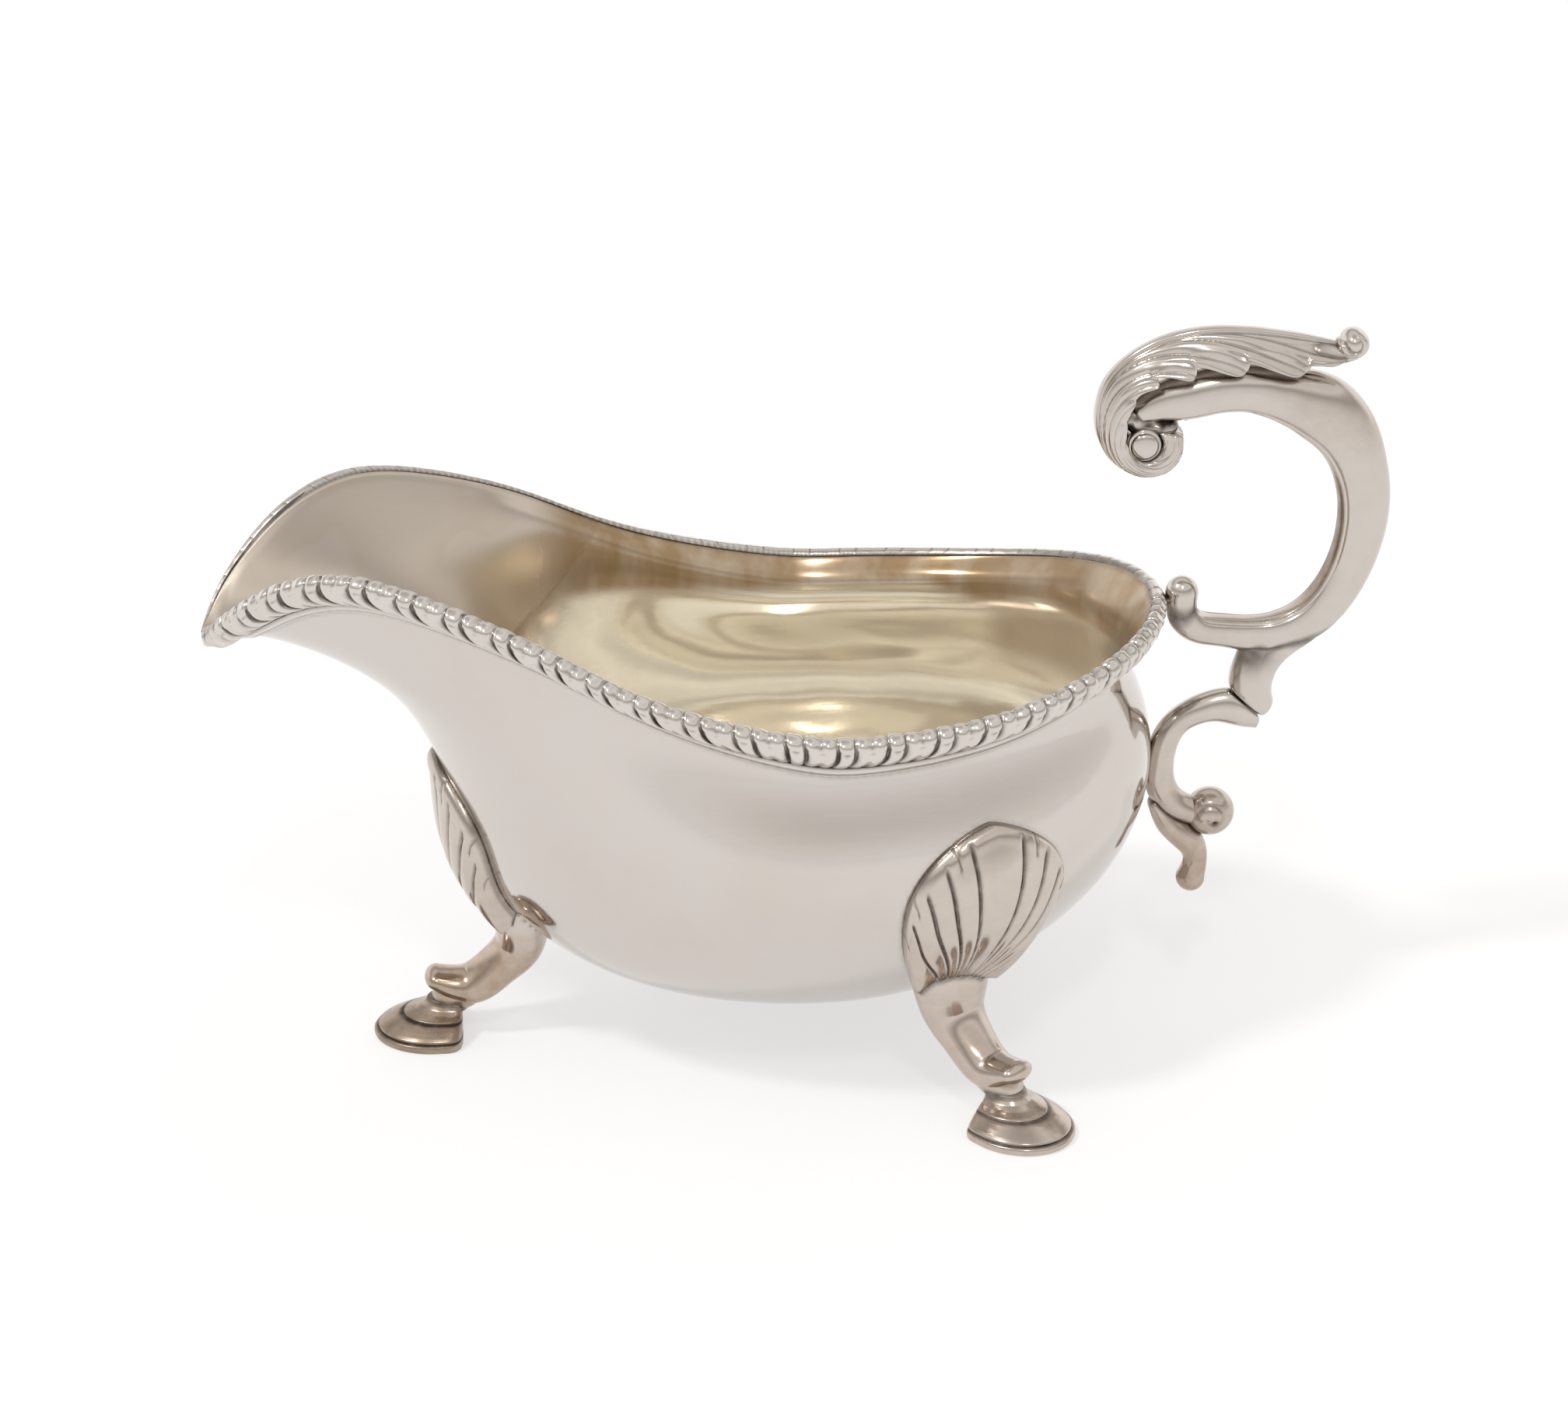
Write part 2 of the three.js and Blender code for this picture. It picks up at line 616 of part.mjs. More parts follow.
function makeHandle(seat, border) {
  const at = (u, z) => inHandle(u, 0, z);
  const options = { place: inHandle, steps: 2, sides: 10 };
  const thumb = THUMB.map(([u, z, share]) => station(u, z, share * BEAD_RADIUS, 1));
  const upper = [...thumb, ...MAIN_SCROLL];
  const main = sweep(upper, options);
  const mainGrown = sweep(upper, { ...options, grow: GAP });
  const leaf = makeLeaf().subtract(mainGrown);
  const leafGrown = makeLeaf(GAP);
  const curlAt = at(90.6, 119.9).add(V(0.91 * CURL_RADIUS, 0, 0.15 * CURL_RADIUS));
  const curl = ball(curlAt, CURL_RADIUS, 1.2 * CURL_RADIUS, CURL_RADIUS).subtract(leafGrown);
  const volute = ball(at(...EYE_AT), EYE_RADIUS, 1.5 * EYE_RADIUS, EYE_RADIUS)
    .subtract(mainGrown)
    .subtract(leafGrown);
  // a block on the thumb's side of the heel cuts the scroll there and leaves its far end whole
  const block = 6 * BEAD_RADIUS;
  const thumbSide = bodyOf(
    new THREE.BoxGeometry(block, block, block)
      .translate((GAP - block) / 2, 0, 0)
      .rotateY(rad(-HEEL.tilt))
      .translate(...at(...HEEL.through).toArray()),
  );
  const rimVolute = border.reduce(
    (body, moulding) => body.subtract(moulding),
    before(
      sweep([...thumb, MAIN_SCROLL[0]], { ...options, round: [true, false] }),
      parting(HEEL),
    ).subtract(seat),
  );
  const crease = parting(CREASE);
  const strut = beyond(
    sweep(STRUT, { ...options, sides: 8, round: [false, true] }).subtract(mainGrown),
    crease,
  );
  const lowerBody = (grow) => {
    const [round, across] = [TERMINAL_RADIUS + grow, 0.95 * TERMINAL_RADIUS + grow];
    return sweep(LOWER_SCROLL, { ...options, grow, round: [false, true] }).add(
      ball(at(72.6, 36.2), round, across, round),
    );
  };
  const lower = before(lowerBody(0), crease).subtract(seat);
  const spur = sweep(SPUR, { ...options, sides: 8 })
    .subtract(lowerBody(GAP))
    .subtract(seat);
  return {
    handle_main_scroll: main.subtract(thumbSide),
    handle_leaf: leaf,
    handle_leaf_curl: curl,
    handle_front_volute: volute,
    handle_rim_volute: rimVolute,
    handle_strut: strut,
    handle_lower_scroll: lower,
    handle_spur: spur,
  };
}
// The one real piece of a cut body, without the slivers that a cut leaves
function largest(body) {
  const parts = body.decompose();
  return parts.reduce((a, b) => (b.volume() > a.volume() ? b : a));
}

// Legs. Each stands in a vertical plane through the leg centre; u runs outwards from the foot.
function legFrame(angle, footRadius) {
  const out = V(cos(angle), sin(angle), 0);
  const across = V(-sin(angle), cos(angle), 0);
  return (u, w, z) =>
    V(LEG_CENTRE_X, 0, z)
      .addScaledVector(out, footRadius + u)
      .addScaledVector(across, w);
}
const SHELL_CROWN = RIM_HEIGHT - SHELL_BELOW_RIM;
const SHELL_FOOT = SHELL_CROWN - SHELL_HEIGHT;

// Point of the bowl in a leg's plane: w across it and z above the ground, as surface angle and depth
function onBowl(angle, w, z, guess) {
  let [a, t] = guess;
  const out = (q) => [
    -sin(angle) * (q.x - LEG_CENTRE_X) + cos(angle) * q.y - w,
    q.z - z,
  ];
  for (let n = 0; n < 12; n++) {
    const e = 1e-3;
    const [f, g] = out(bowl(a, t));
    const [fa, ga] = out(bowl(a + e, t)).map((v, i) => (v - [f, g][i]) / e);
    const [ft, gt] = out(bowl(a, t + e)).map((v, i) => (v - [f, g][i]) / e);
    const det = fa * gt - ft * ga;
    a -= clamp((f * gt - ft * g) / det, -0.3, 0.3);
    t = clamp(t - clamp((fa * g - f * ga) / det, -0.5, 0.5), 1.2, RING_COUNT - 0.3);
  }
  return [a, t];
}

// Half outline of the shell, from its crown (0) down one side to its lower corner (1), by length
const SHELL_WIDEST = 0.52;
const SHELL_CORNER = 0.6;
function shellOutline(grow) {
  const line = [];
  for (let i = 0; i <= 80; i++) {
    const f = 1 - i / 80;
    const share =
      f > SHELL_WIDEST
        ? pow(max(1 - pow((f - SHELL_WIDEST) / (1 - SHELL_WIDEST), 2.2), 0), 0.75)
        : mix(SHELL_CORNER, 1, 1 - pow(1 - f / SHELL_WIDEST, 1.8));
    line.push([
      (SHELL_HALF_WIDTH + 2 * grow) * share,
      SHELL_FOOT - 2 * grow + (SHELL_HEIGHT + 4 * grow) * f,
    ]);
  }
  const run = [0];
  for (let i = 1; i < line.length; i++)
    run.push(run[i - 1] + hypot(line[i][0] - line[i - 1][0], line[i][1] - line[i - 1][1]));
  return (share) => {
    const want = share * run[run.length - 1];
    let i = 1;
    while (i < run.length - 1 && run[i] < want) i++;
    const f = clamp((want - run[i - 1]) / (run[i] - run[i - 1]), 0, 1);
    return [mix(line[i - 1][0], line[i][0], f), mix(line[i - 1][1], line[i][1], f)];
  };
}

// Grooves between the flutes, as shares of the half outline from the crown
const SHELL_GROOVES = [0.133, 0.278, 0.41, 0.568];
const SHELL_RAYS = [0, 0.066, 0.133, 0.205, 0.278, 0.344, 0.41, 0.489, 0.568, 0.72, 0.87, 1];
const SHELL_FOCUS = 0.4;

// Shell on the knee: flutes that fan out over a dome laid on the bowl, cut level at the shank
function makeShell(angle, grow) {
  const outline = shellOutline(grow);
  const focus = SHELL_FOOT - SHELL_FOCUS * SHELL_HEIGHT;
  const foot = SHELL_FOOT - 1 - 2 * grow;
  const steps = 5;
  const rows = [];
  const rays = [...SHELL_RAYS.slice(1).reverse().map((g) => -g), ...SHELL_RAYS];
  for (const g of rays) {
    const [edgeW, edgeZ] = outline(abs(g));
    const groove = grow === 0 && SHELL_GROOVES.includes(abs(g)) ? 1 : 0;
    const start = (foot - focus) / (edgeZ - focus);
    const outer = [];
    const inner = [];
    for (let i = 0; i <= steps; i++) {
      const r = mix(start, 1, i / steps);
      const w = sign(g) * edgeW * r;
      const z = focus + (edgeZ - focus) * r;
      const [a, t] = onBowl(angle, w, z, [angle, 3.5]);
      const dome = pow(1 - pow(r, 2.4), 0.75) * mix(0.66, 1, smooth(2.2 * (r - 0.2)));
      const off = GAP + 1 + SHELL_BULGE * dome - groove * mix(0.65, 0.35, r);
      outer.push(skin(a, t, off + 1.3 * grow));
      inner.push(skin(a, t, GAP - 1));
    }
    rows.push([...outer, ...inner.reverse()]);
  }
  return solid(rows);
}

// Shank and ankle stations, drawn for a shell corner at z = 25.9 over a foot 5.9 high
const SHANK = [
  [-18.8, 26, 4.6, 8.4],
  [-18.3, 21, 4.7, 7.5],
  [-17.6, 16.4, 4.2, 5.9],
  [-13.9, 12.1, 3.6, 4.7],
  [-9.2, 8.9, 3.4, 4.2],
  [-3.4, 10.3, 1.9, 3.4],
];
const ANKLE = [
  [-10, 8.9, 2.7, 3.7],
  [-7.6, 7.8, 3.4, 3.5],
  [-6, 6.9, 3.3, 3.2],
  [-5.9, 4.5, 3.2, 3.1],
];
const legRise = (rows) =>
  rows.map(([u, z, h, b]) => [
    u,
    FOOT_HEIGHT + ((z - 5.9) * (SHELL_FOOT - FOOT_HEIGHT)) / (25.9 - 5.9),
    h,
    b,
  ]);

// Foot: stacked outlines that share the heel, each a round toe and a squarer heel.
// Each row holds shares of the foot's height, length and width.
const FOOT = [
  [0, 1, 1],
  [0.24, 0.99, 0.99],
  [0.28, 0.93, 0.92],
  [0.35, 0.9, 0.89],
  [0.52, 0.81, 0.78],
  [0.64, 0.7, 0.64],
  [0.67, 0.63, 0.56],
  [0.78, 0.53, 0.48],
  [0.9, 0.45, 0.4],
  [1, 0.4, 0.36],
];
function makeFoot(place) {
  const sides = 16;
  const heel = 0.32 * FOOT_LENGTH;
  const toe = FOOT_LENGTH - heel;
  const rows = FOOT.map(([high, long, wide]) => {
    const row = [];
    for (let j = 0; j < sides; j++) {
      const g = (2 * PI * j) / sides;
      const c = cos(g);
      const s = sin(g);
      const power = c > 0 ? 2 : 4.2;
      const u = (c > 0 ? toe : heel) * sign(c) * pow(abs(c), 2 / power);
      const w = (FOOT_WIDTH / 2) * sign(s) * pow(abs(s), 2 / power);
      row.push(
        place((u + heel) * long - 0.51 * FOOT_LENGTH, w * wide, high * FOOT_HEIGHT),
      );
    }
    return row;
  });
  return solid(rows);
}

function makeLeg(name, angle, standoff, seat) {
  // The foot stands off from the bowl's surface behind the lower part of the shell
  const [a, t] = onBowl(angle, 0, SHELL_FOOT + 0.05 * SHELL_HEIGHT, [angle, 3.8]);
  const knee = bowl(a, t);
  const reach = hypot(knee.x - LEG_CENTRE_X, knee.y);
  const place = legFrame(angle, reach + standoff);
  const shell = makeShell(angle, 0).subtract(seat);
  const shank = sweep(legRise(SHANK), { place, steps: 2, sides: 10, round: [false, true] });
  const ankle = sweep(legRise(ANKLE), { place, steps: 1, sides: 10, round: [false, false] });
  return {
    ["leg_" + name + "_shell"]: shell,
    ["leg_" + name + "_shank"]: shank
      .add(ankle)
      .subtract(seat)
      .subtract(makeShell(angle, GAP))
      .trimByPlane([0, 0, 1], FOOT_HEIGHT + GAP),
    ["leg_" + name + "_foot"]: makeFoot(place),
  };
}

// Assembly
const seat = makeSeat();
const bodies = {
  bowl: makeBowl(),
  gadroon_left: makeGadroon(-1),
  gadroon_right: makeGadroon(1),
  rim_reed: makeReed(),
  ...makeHandle(seat, [makeGadroon(-1, GAP), makeGadroon(1, GAP)]),
  ...makeLeg("front", PI, FRONT_STANDOFF, seat),
  ...makeLeg("back_left", rad(-BACK_LEG_ANGLE), BACK_STANDOFF, seat),
  ...makeLeg("back_right", rad(BACK_LEG_ANGLE), BACK_STANDOFF, seat),
};

// The origin lies on the ground under the middle of the overall length
const ends = Object.values(bodies).map((body) => body.boundingBox());
const middleX = (min(...ends.map((b) => b.min[0])) + max(...ends.map((b) => b.max[0]))) / 2;

// Polished body, worked border and warmer castings
const FINISHES = [
  [/^bowl/, 0xd3ccc5, 0.18],
  [/^(gadroon|rim)/, 0xc6bfb7, 0.24],
  [/./, 0xbfb5ab, 0.28],
];
const group = new THREE.Group();
group.name = "sauce_boat";
for (const [name, body] of Object.entries(bodies)) {
  const data = largest(body).translate([-middleX, 0, 0]).getMesh();
  const geometry = new THREE.BufferGeometry();
  const points = new Float32Array(data.numVert * 3);
  for (let i = 0; i < data.numVert; i++)
    points.set(
      data.vertProperties.subarray(i * data.numProp, i * data.numProp + 3),
      i * 3,
    );
  geometry.setAttribute("position", new THREE.BufferAttribute(points, 3));
  geometry.setIndex(new THREE.BufferAttribute(data.triVerts, 1));
  geometry.computeVertexNormals();
  const [, color, roughness] = FINISHES.find(([match]) => match.test(name));
  const material = new THREE.MeshStandardMaterial({ color, roughness, metalness: 1 });
  const mesh = new THREE.Mesh(geometry, material);
  mesh.name = name;
  group.add(mesh);
}
export default group;
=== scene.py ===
"""Silver sauce boat on three legs: smooth metal forms, finishes, floor, light and camera."""

import math

import bpy
import numpy as np
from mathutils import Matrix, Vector
from mathutils.kdtree import KDTree


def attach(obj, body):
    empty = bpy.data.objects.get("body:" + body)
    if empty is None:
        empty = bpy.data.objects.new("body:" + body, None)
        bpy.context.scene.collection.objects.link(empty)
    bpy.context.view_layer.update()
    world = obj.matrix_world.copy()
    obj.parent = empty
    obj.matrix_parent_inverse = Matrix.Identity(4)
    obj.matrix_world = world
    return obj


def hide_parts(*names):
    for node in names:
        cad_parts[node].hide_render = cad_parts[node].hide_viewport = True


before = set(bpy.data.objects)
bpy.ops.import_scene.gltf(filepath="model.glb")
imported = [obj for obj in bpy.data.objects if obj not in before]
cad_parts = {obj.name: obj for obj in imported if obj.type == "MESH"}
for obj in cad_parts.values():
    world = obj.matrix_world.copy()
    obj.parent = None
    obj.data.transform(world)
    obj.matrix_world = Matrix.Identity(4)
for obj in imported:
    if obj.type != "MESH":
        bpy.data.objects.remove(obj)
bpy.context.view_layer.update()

MM = 0.001
PI = math.pi

# Sizes, in millimetres

SPOUT_REACH = 99.8
BACK_REACH = 58.3
RIM_HALF_WIDTH = 38.9
RIM_HEIGHT = 71.0
WALL = 1.2
LOBES_PER_SIDE = 49
GADROON_DROP = 5.3
GAP = 0.3
LEG_CENTRE_X = -3.0
BACK_LEG_ANGLE = 51.0
BACK_STANDOFF = 16.6
FRONT_STANDOFF = 14.7
FOOT_LENGTH = 15.1
FOOT_WIDTH = 17.7
FOOT_HEIGHT = 5.9
SHELL_HALF_WIDTH = 12.9
SHELL_HEIGHT = 27.6
SHELL_BULGE = 4.4
SHELL_FOOT = 25.9
BOTTOM_SHARE = 0.151
BOTTOM_X = -2.0

# Plan ovals of the bowl: shares of back reach, spout reach and half width, powers at the back and
# the spout, heights at the back, sides and spout as shares of the rim height, and the rise between
RINGS = [
    (1, 1, 1, 2, 1.75, 0, 0, 0, 0),
    (0.923, 0.895, 0.959, 2, 1.7, 0.962, 0.901, 1.063, 0.134),
    (0.964, 0.717, 1.01, 2.05, 1.85, 0.834, 0.78, 0.955, 0.037),
    (0.981, 0.609, 1.054, 2.1, 1.85, 0.642, 0.611, 0.69, 0),
    (0.835, 0.542, 0.871, 2.15, 1.97, 0.397, 0.375, 0.423, 0),
    (0.477, 0.341, 0.501, 2.1, 2.1, 0.203, 0.18, 0.204, 0),
]
RIM_LINE = np.array(
    [
        (-1, 1.064), (-0.962, 1.155), (-0.862, 1.282), (-0.737, 1.328), (-0.51, 1.235), (-0.291, 1.087),
        (-0.05, 1), (0.137, 0.989), (0.566, 1.014), (1, 1.092),
    ]
)

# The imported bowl's lowest point is the middle of its bottom, which fixes where the drawing's own
# origin lies in the frame.
_low = min((v.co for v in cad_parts["bowl"].data.vertices), key=lambda co: round(co.z, 6))
SHIFT = _low.x / MM - BOTTOM_X


# Small maths


def smooth(f):
    f = np.clip(f, 0, 1)
    return f * f * (3 - 2 * f)


def mix(a, b, f):
    return a + (b - a) * f


def natural(x, y, q):
    """Natural cubic spline through (x, y), read at q. y may have further axes."""
    x = np.asarray(x, float)
    y = np.asarray(y, float)
    n = len(x)
    h = np.diff(x)
    a = np.zeros((n, n))
    b = np.zeros(y.shape)
    a[0, 0] = a[-1, -1] = 1
    slope = np.diff(y, axis=0) / h.reshape((-1,) + (1,) * (y.ndim - 1))
    for i in range(1, n - 1):
        a[i, i - 1], a[i, i], a[i, i + 1] = h[i - 1], 2 * (h[i - 1] + h[i]), h[i]
        b[i] = 6 * (slope[i] - slope[i - 1])
    m = np.linalg.solve(a, b.reshape(n, -1)).reshape(y.shape)
    q = np.asarray(q, float)
    k = np.clip(np.searchsorted(x, q) - 1, 0, n - 2)
    wide = (slice(None),) + (None,) * (y.ndim - 1)
    d = (q - x[k])[wide]
    hk = h[k][wide]
    return (
        y[k]
        + d * (slope[k] - hk * (2 * m[k] + m[k + 1]) / 6)
        + d * d * m[k] / 2
        + d * d * d * (m[k + 1] - m[k]) / (6 * hk)
    )


def unit(v):
    return v / np.maximum(np.linalg.norm(v, axis=-1, keepdims=True), 1e-12)


def ripple(p, scale, seed):
    """Smooth uneven field in -1 to 1 for points p in millimetres, with features about scale wide."""
    rng = np.random.default_rng(seed)
    out = np.zeros(p.shape[:-1])
    for _ in range(9):
        d = unit(rng.normal(size=3)) * 2 * PI / (scale * rng.uniform(0.75, 1.6))
        out += np.sin(p @ d + rng.uniform(0, 2 * PI))
    return out / 4.5


# Bowl surface


def rim_height(share):
    x, y = RIM_LINE.T
    n = len(x)
    lo, hi = np.maximum(np.arange(n) - 1, 0), np.minimum(np.arange(n) + 1, n - 1)
    slope = (y[hi] - y[lo]) / (x[hi] - x[lo])
    s = np.clip(share, -1, 1)
    i = np.clip(np.searchsorted(x, s) - 1, 0, n - 2)
    h = x[i + 1] - x[i]
    f = (s - x[i]) / h
    return (
        (2 * f**3 - 3 * f**2 + 1) * y[i]
        + (f**3 - 2 * f**2 + f) * h * slope[i]
        + (3 * f**2 - 2 * f**3) * y[i + 1]
        + (f**3 - f**2) * h * slope[i + 1]
    )


def ring(k, a):
    back, spout, side, pb, ps, zb, zs, zf, hump = RINGS[k]
    c, s = np.cos(a), np.sin(a)
    power = np.where(c > 0, pb, ps)
    share = np.sign(c) * np.abs(c) ** (2 / power)
    x = np.where(c > 0, back * BACK_REACH, spout * SPOUT_REACH) * share
    y = side * RIM_HALF_WIDTH * np.sign(s) * np.abs(s) ** (2 / power)
    if k == 0:
        z = rim_height(share)
    else:
        z = np.where(
            c > 0,
            zs + (zb - zs) * c * c,
            zs + (zf - zs) * c * c + hump * np.sin(2 * a) ** 2,
        )
    return np.stack([x, y, z * RIM_HEIGHT], -1)


ANGLES = 720
DEPTH_STEP = 0.02
DEPTHS = np.arange(0, 6 + DEPTH_STEP / 2, DEPTH_STEP)


def bowl_table():
    """Outer surface on a fine grid [depth, angle], with its outward normals."""
    a = np.arange(ANGLES) * 2 * PI / ANGLES
    side = [ring(k, a) for k in range(6)]
    bottom = np.broadcast_to([BOTTOM_X, 0, BOTTOM_SHARE * RIM_HEIGHT], side[0].shape)
    across = [np.roll(r, -ANGLES // 2, axis=0) for r in side]
    knots = np.stack(side + [bottom] + across[::-1])
    p = natural(np.arange(13), knots, DEPTHS)
    # the hammer leaves no sharp change round the plan ovals
    n = np.fft.rfftfreq(ANGLES, 1 / ANGLES)
    g = np.exp(-0.5 * (n * math.radians(3.4)) ** 2)
    f = np.fft.rfft(p, axis=1) * (2 * g - g * g)[None, :, None]
    p = np.fft.irfft(f, n=ANGLES, axis=1)
    along = np.roll(p, -1, axis=1) - np.roll(p, 1, axis=1)
    down = np.gradient(p, axis=0)
    normal = unit(np.cross(down, along))
    normal[-1] = (0, 0, -1)
    return p, normal


SURFACE, NORMAL = bowl_table()


def read_grid(table, row, a):
    """Bilinear reading of a [row, angle] table at a row with a fraction and an angle."""
    col = np.mod(np.asarray(a, float) / (2 * PI), 1) * ANGLES
    row = np.clip(row, 0, len(table) - 1.001)
    r0, c0 = np.floor(row).astype(int), np.floor(col).astype(int)
    fr, fc = row - r0, col - c0
    if table.ndim == 3:
        fr, fc = fr[..., None], fc[..., None]
    c0, c1 = c0 % ANGLES, (c0 + 1) % ANGLES
    top = table[r0, c0] * (1 - fc) + table[r0, c1] * fc
    low = table[r0 + 1, c0] * (1 - fc) + table[r0 + 1, c1] * fc
    return top * (1 - fr) + low * fr


def lookup(table, a, t):
    return read_grid(table, np.asarray(t, float) / DEPTH_STEP, a)


def skin(a, t, off):
    """Points that stand off the bowl's outer surface at angle a and depth t."""
    off = np.asarray(off, float)[..., None]
    return lookup(SURFACE, a, t) + unit(lookup(NORMAL, a, t)) * off


# Distance down the surface from the rim at each depth, and the depth at each distance
RUN = np.cumsum(np.linalg.norm(np.diff(SURFACE, axis=0), axis=2), axis=0)
RUN = np.concatenate([np.zeros((1, ANGLES)), RUN])
DISTANCE_STEP = 0.1
DISTANCES = np.arange(0, 14, DISTANCE_STEP)
DEPTH_AT = np.stack([np.interp(DISTANCES, RUN[:, j], DEPTHS) for j in range(ANGLES)], 1)


def depth_at(a, distance):
    """Depth t at a distance down the surface from the rim."""
    return read_grid(DEPTH_AT, np.asarray(distance, float) / DISTANCE_STEP, a)


# Meshes

PIECES = {}


class Piece:
    """Points in millimetres in the drawing's frame, faces, and values per point."""

    def __init__(self, points, faces):
        self.p = np.asarray(points, float)
        self.f = [tuple(int(i) for i in q) for q in faces]
        if self.volume() < 0:
            self.f = [q[::-1] for q in self.f]
        self.values = {}

    def value(self, key):
        return self.values.get(key, np.zeros(len(self.p)))

    def triangles(self):
        return np.array([t for q in self.f for t in (q[:3], (q[0], q[2], q[-1]))[: len(q) - 2]])

    def volume(self):
        t = self.p[self.triangles()]
        return np.einsum("ij,ij->i", t[:, 0], np.cross(t[:, 1], t[:, 2])).sum() / 6

    def normals(self):
        t = self.triangles()
        q = self.p[t]
        n = np.cross(q[:, 1] - q[:, 0], q[:, 2] - q[:, 0])
        out = np.zeros_like(self.p)
        for k in range(3):
            for c in range(3):
                out[:, c] += np.bincount(t[:, k], n[:, c], len(self.p))
        return unit(out)

    def edges(self):
        e = np.array([(q[i], q[(i + 1) % len(q)]) for q in self.f for i in range(len(q))])
        return np.unique(np.sort(e, axis=1), axis=0)

    def hollow(self, rounds):
        """Depth in millimetres of each point under its smoothed neighbourhood."""
        e = self.edges()
        n = len(self.p)
        count = np.bincount(e[:, 0], minlength=n) + np.bincount(e[:, 1], minlength=n)
        q = self.p.copy()
        for _ in range(rounds):
            s = np.zeros_like(q)
            for c in range(3):
                s[:, c] = np.bincount(e[:, 0], q[e[:, 1], c], n) + np.bincount(e[:, 1], q[e[:, 0], c], n)
            q = 0.5 * q + 0.5 * s / count[:, None]
        return np.einsum("ij,ij->i", q - self.p, self.normals())


def grid_faces(rows, cols, closed_rows):
    """Quads between rows of points, each row a closed loop."""
    i, j = np.meshgrid(np.arange(rows if closed_rows else rows - 1), np.arange(cols), indexing="ij")
    k, n = (i + 1) % rows, (j + 1) % cols
    return np.stack([i * cols + j, k * cols + j, k * cols + n, i * cols + n], -1).reshape(-1, 4).tolist()


def loft(rows, closed_rows=False):
    """Closed body through rows of points, each row a closed loop; the end rows are capped."""
    rows = np.asarray(rows, float)
    n, m = rows.shape[:2]
    points = rows.reshape(-1, 3)
    faces = grid_faces(n, m, closed_rows)
    if not closed_rows:
        for r, flip in ((0, False), (n - 1, True)):
            mid = len(points)
            points = np.concatenate([points, rows[r].mean(0, keepdims=True)])
            for j in range(m):
                q = (mid, r * m + j, r * m + (j + 1) % m)
                faces.append(q[::-1] if flip else q)
    return Piece(points, faces)


def join(*pieces):
    points, faces, n = [], [], 0
    for piece in pieces:
        points.append(piece.p)
        faces += [tuple(i + n for i in q) for q in piece.f]
        n += len(piece.p)
    out = Piece(np.concatenate(points), faces)
    for key in set(k for piece in pieces for k in piece.values):
        out.values[key] = np.concatenate([piece.value(key) for piece in pieces])
    return out


def sweep(stations, place, steps=120, sides=48, ends=(True, True), power=2.0, inner=None):
    """Body along a line in an upright plane. Stations are (u, z, half thickness in it, half depth).
    ends says which ends are rounded; inner is the power of the section's half on the left of the line."""
    s = np.asarray(stations, float)
    run = np.r_[0, np.cumsum(np.hypot(*np.diff(s[:, :2], axis=0).T))]
    q = natural(run, s, np.linspace(0, run[-1], steps))
    tangent = unit(np.gradient(q[:, :2], axis=0))
    g = np.arange(sides) * 2 * PI / sides
    powers = np.where(np.cos(g) > 0, inner or power, power)
    cg = np.sign(np.cos(g)) * np.abs(np.cos(g)) ** (2 / powers)
    sg = np.sign(np.sin(g)) * np.abs(np.sin(g)) ** (2 / powers)

    def loop(i, ahead, share):
        n = q[i, 2] * cg * share
        w = q[i, 3] * sg * share
        u = q[i, 0] + tangent[i, 0] * ahead - tangent[i, 1] * n
        z = q[i, 1] + tangent[i, 1] * ahead + tangent[i, 0] * n
        return place(u, w, z)

    rows = []
    cap = np.radians(np.linspace(86, 0, 9)[:-1])
    if ends[0]:
        rows += [loop(0, -q[0, 2] * math.sin(c), math.cos(c)) for c in cap]
    rows += [loop(i, 0, 1) for i in range(steps)]
    if ends[1]:
        rows += [loop(steps - 1, q[-1, 2] * math.sin(c), math.cos(c)) for c in cap[::-1]]
    piece = loft(rows)
    piece.turn = np.r_[np.tile(g, len(rows)), 0, 0]
    return piece


# The lower scroll and the strut are flattened past a parting plane: a point of it, the tilt of its
# normal above the u axis in degrees, how far it reaches, and the width and depth of the eased edge
CREASE, CREASE_TILT, CREASE_REACH = (77.7, 56.7), 47.8, 8.0
CREASE_EASE, CREASE_INSET = 0.7, 0.22


def trim(piece, keep):
    """Flatten a body past the parting plane, near its point, and ease its edge there."""
    tilt = math.radians(CREASE_TILT)
    n = keep * np.array([math.cos(tilt), 0, math.sin(tilt)])
    offset = piece.p - in_handle(CREASE[0], 0, CREASE[1])
    s = offset @ n
    near = np.linalg.norm(offset, axis=1) < CREASE_REACH
    shrink = CREASE_INSET * np.clip(1 - np.maximum(s, 0) / CREASE_EASE, 0, 1) ** 2 * near
    piece.p = piece.p - piece.normals() * shrink[:, None] - n * (np.minimum(s, 0) * near)[:, None]
    return piece


def ball(centre, rx, ry, rz, rows=28, cols=48):
    v = np.linspace(0, PI, rows + 2)[1:-1]
    g = np.arange(cols) * 2 * PI / cols
    x = centre[0] + rx * np.outer(np.sin(v), np.cos(g))
    y = centre[1] + ry * np.outer(np.sin(v), np.sin(g))
    z = centre[2] + rz * np.outer(np.cos(v), np.ones(cols))
    return loft(np.stack([x, y, z], -1))


# Bowl


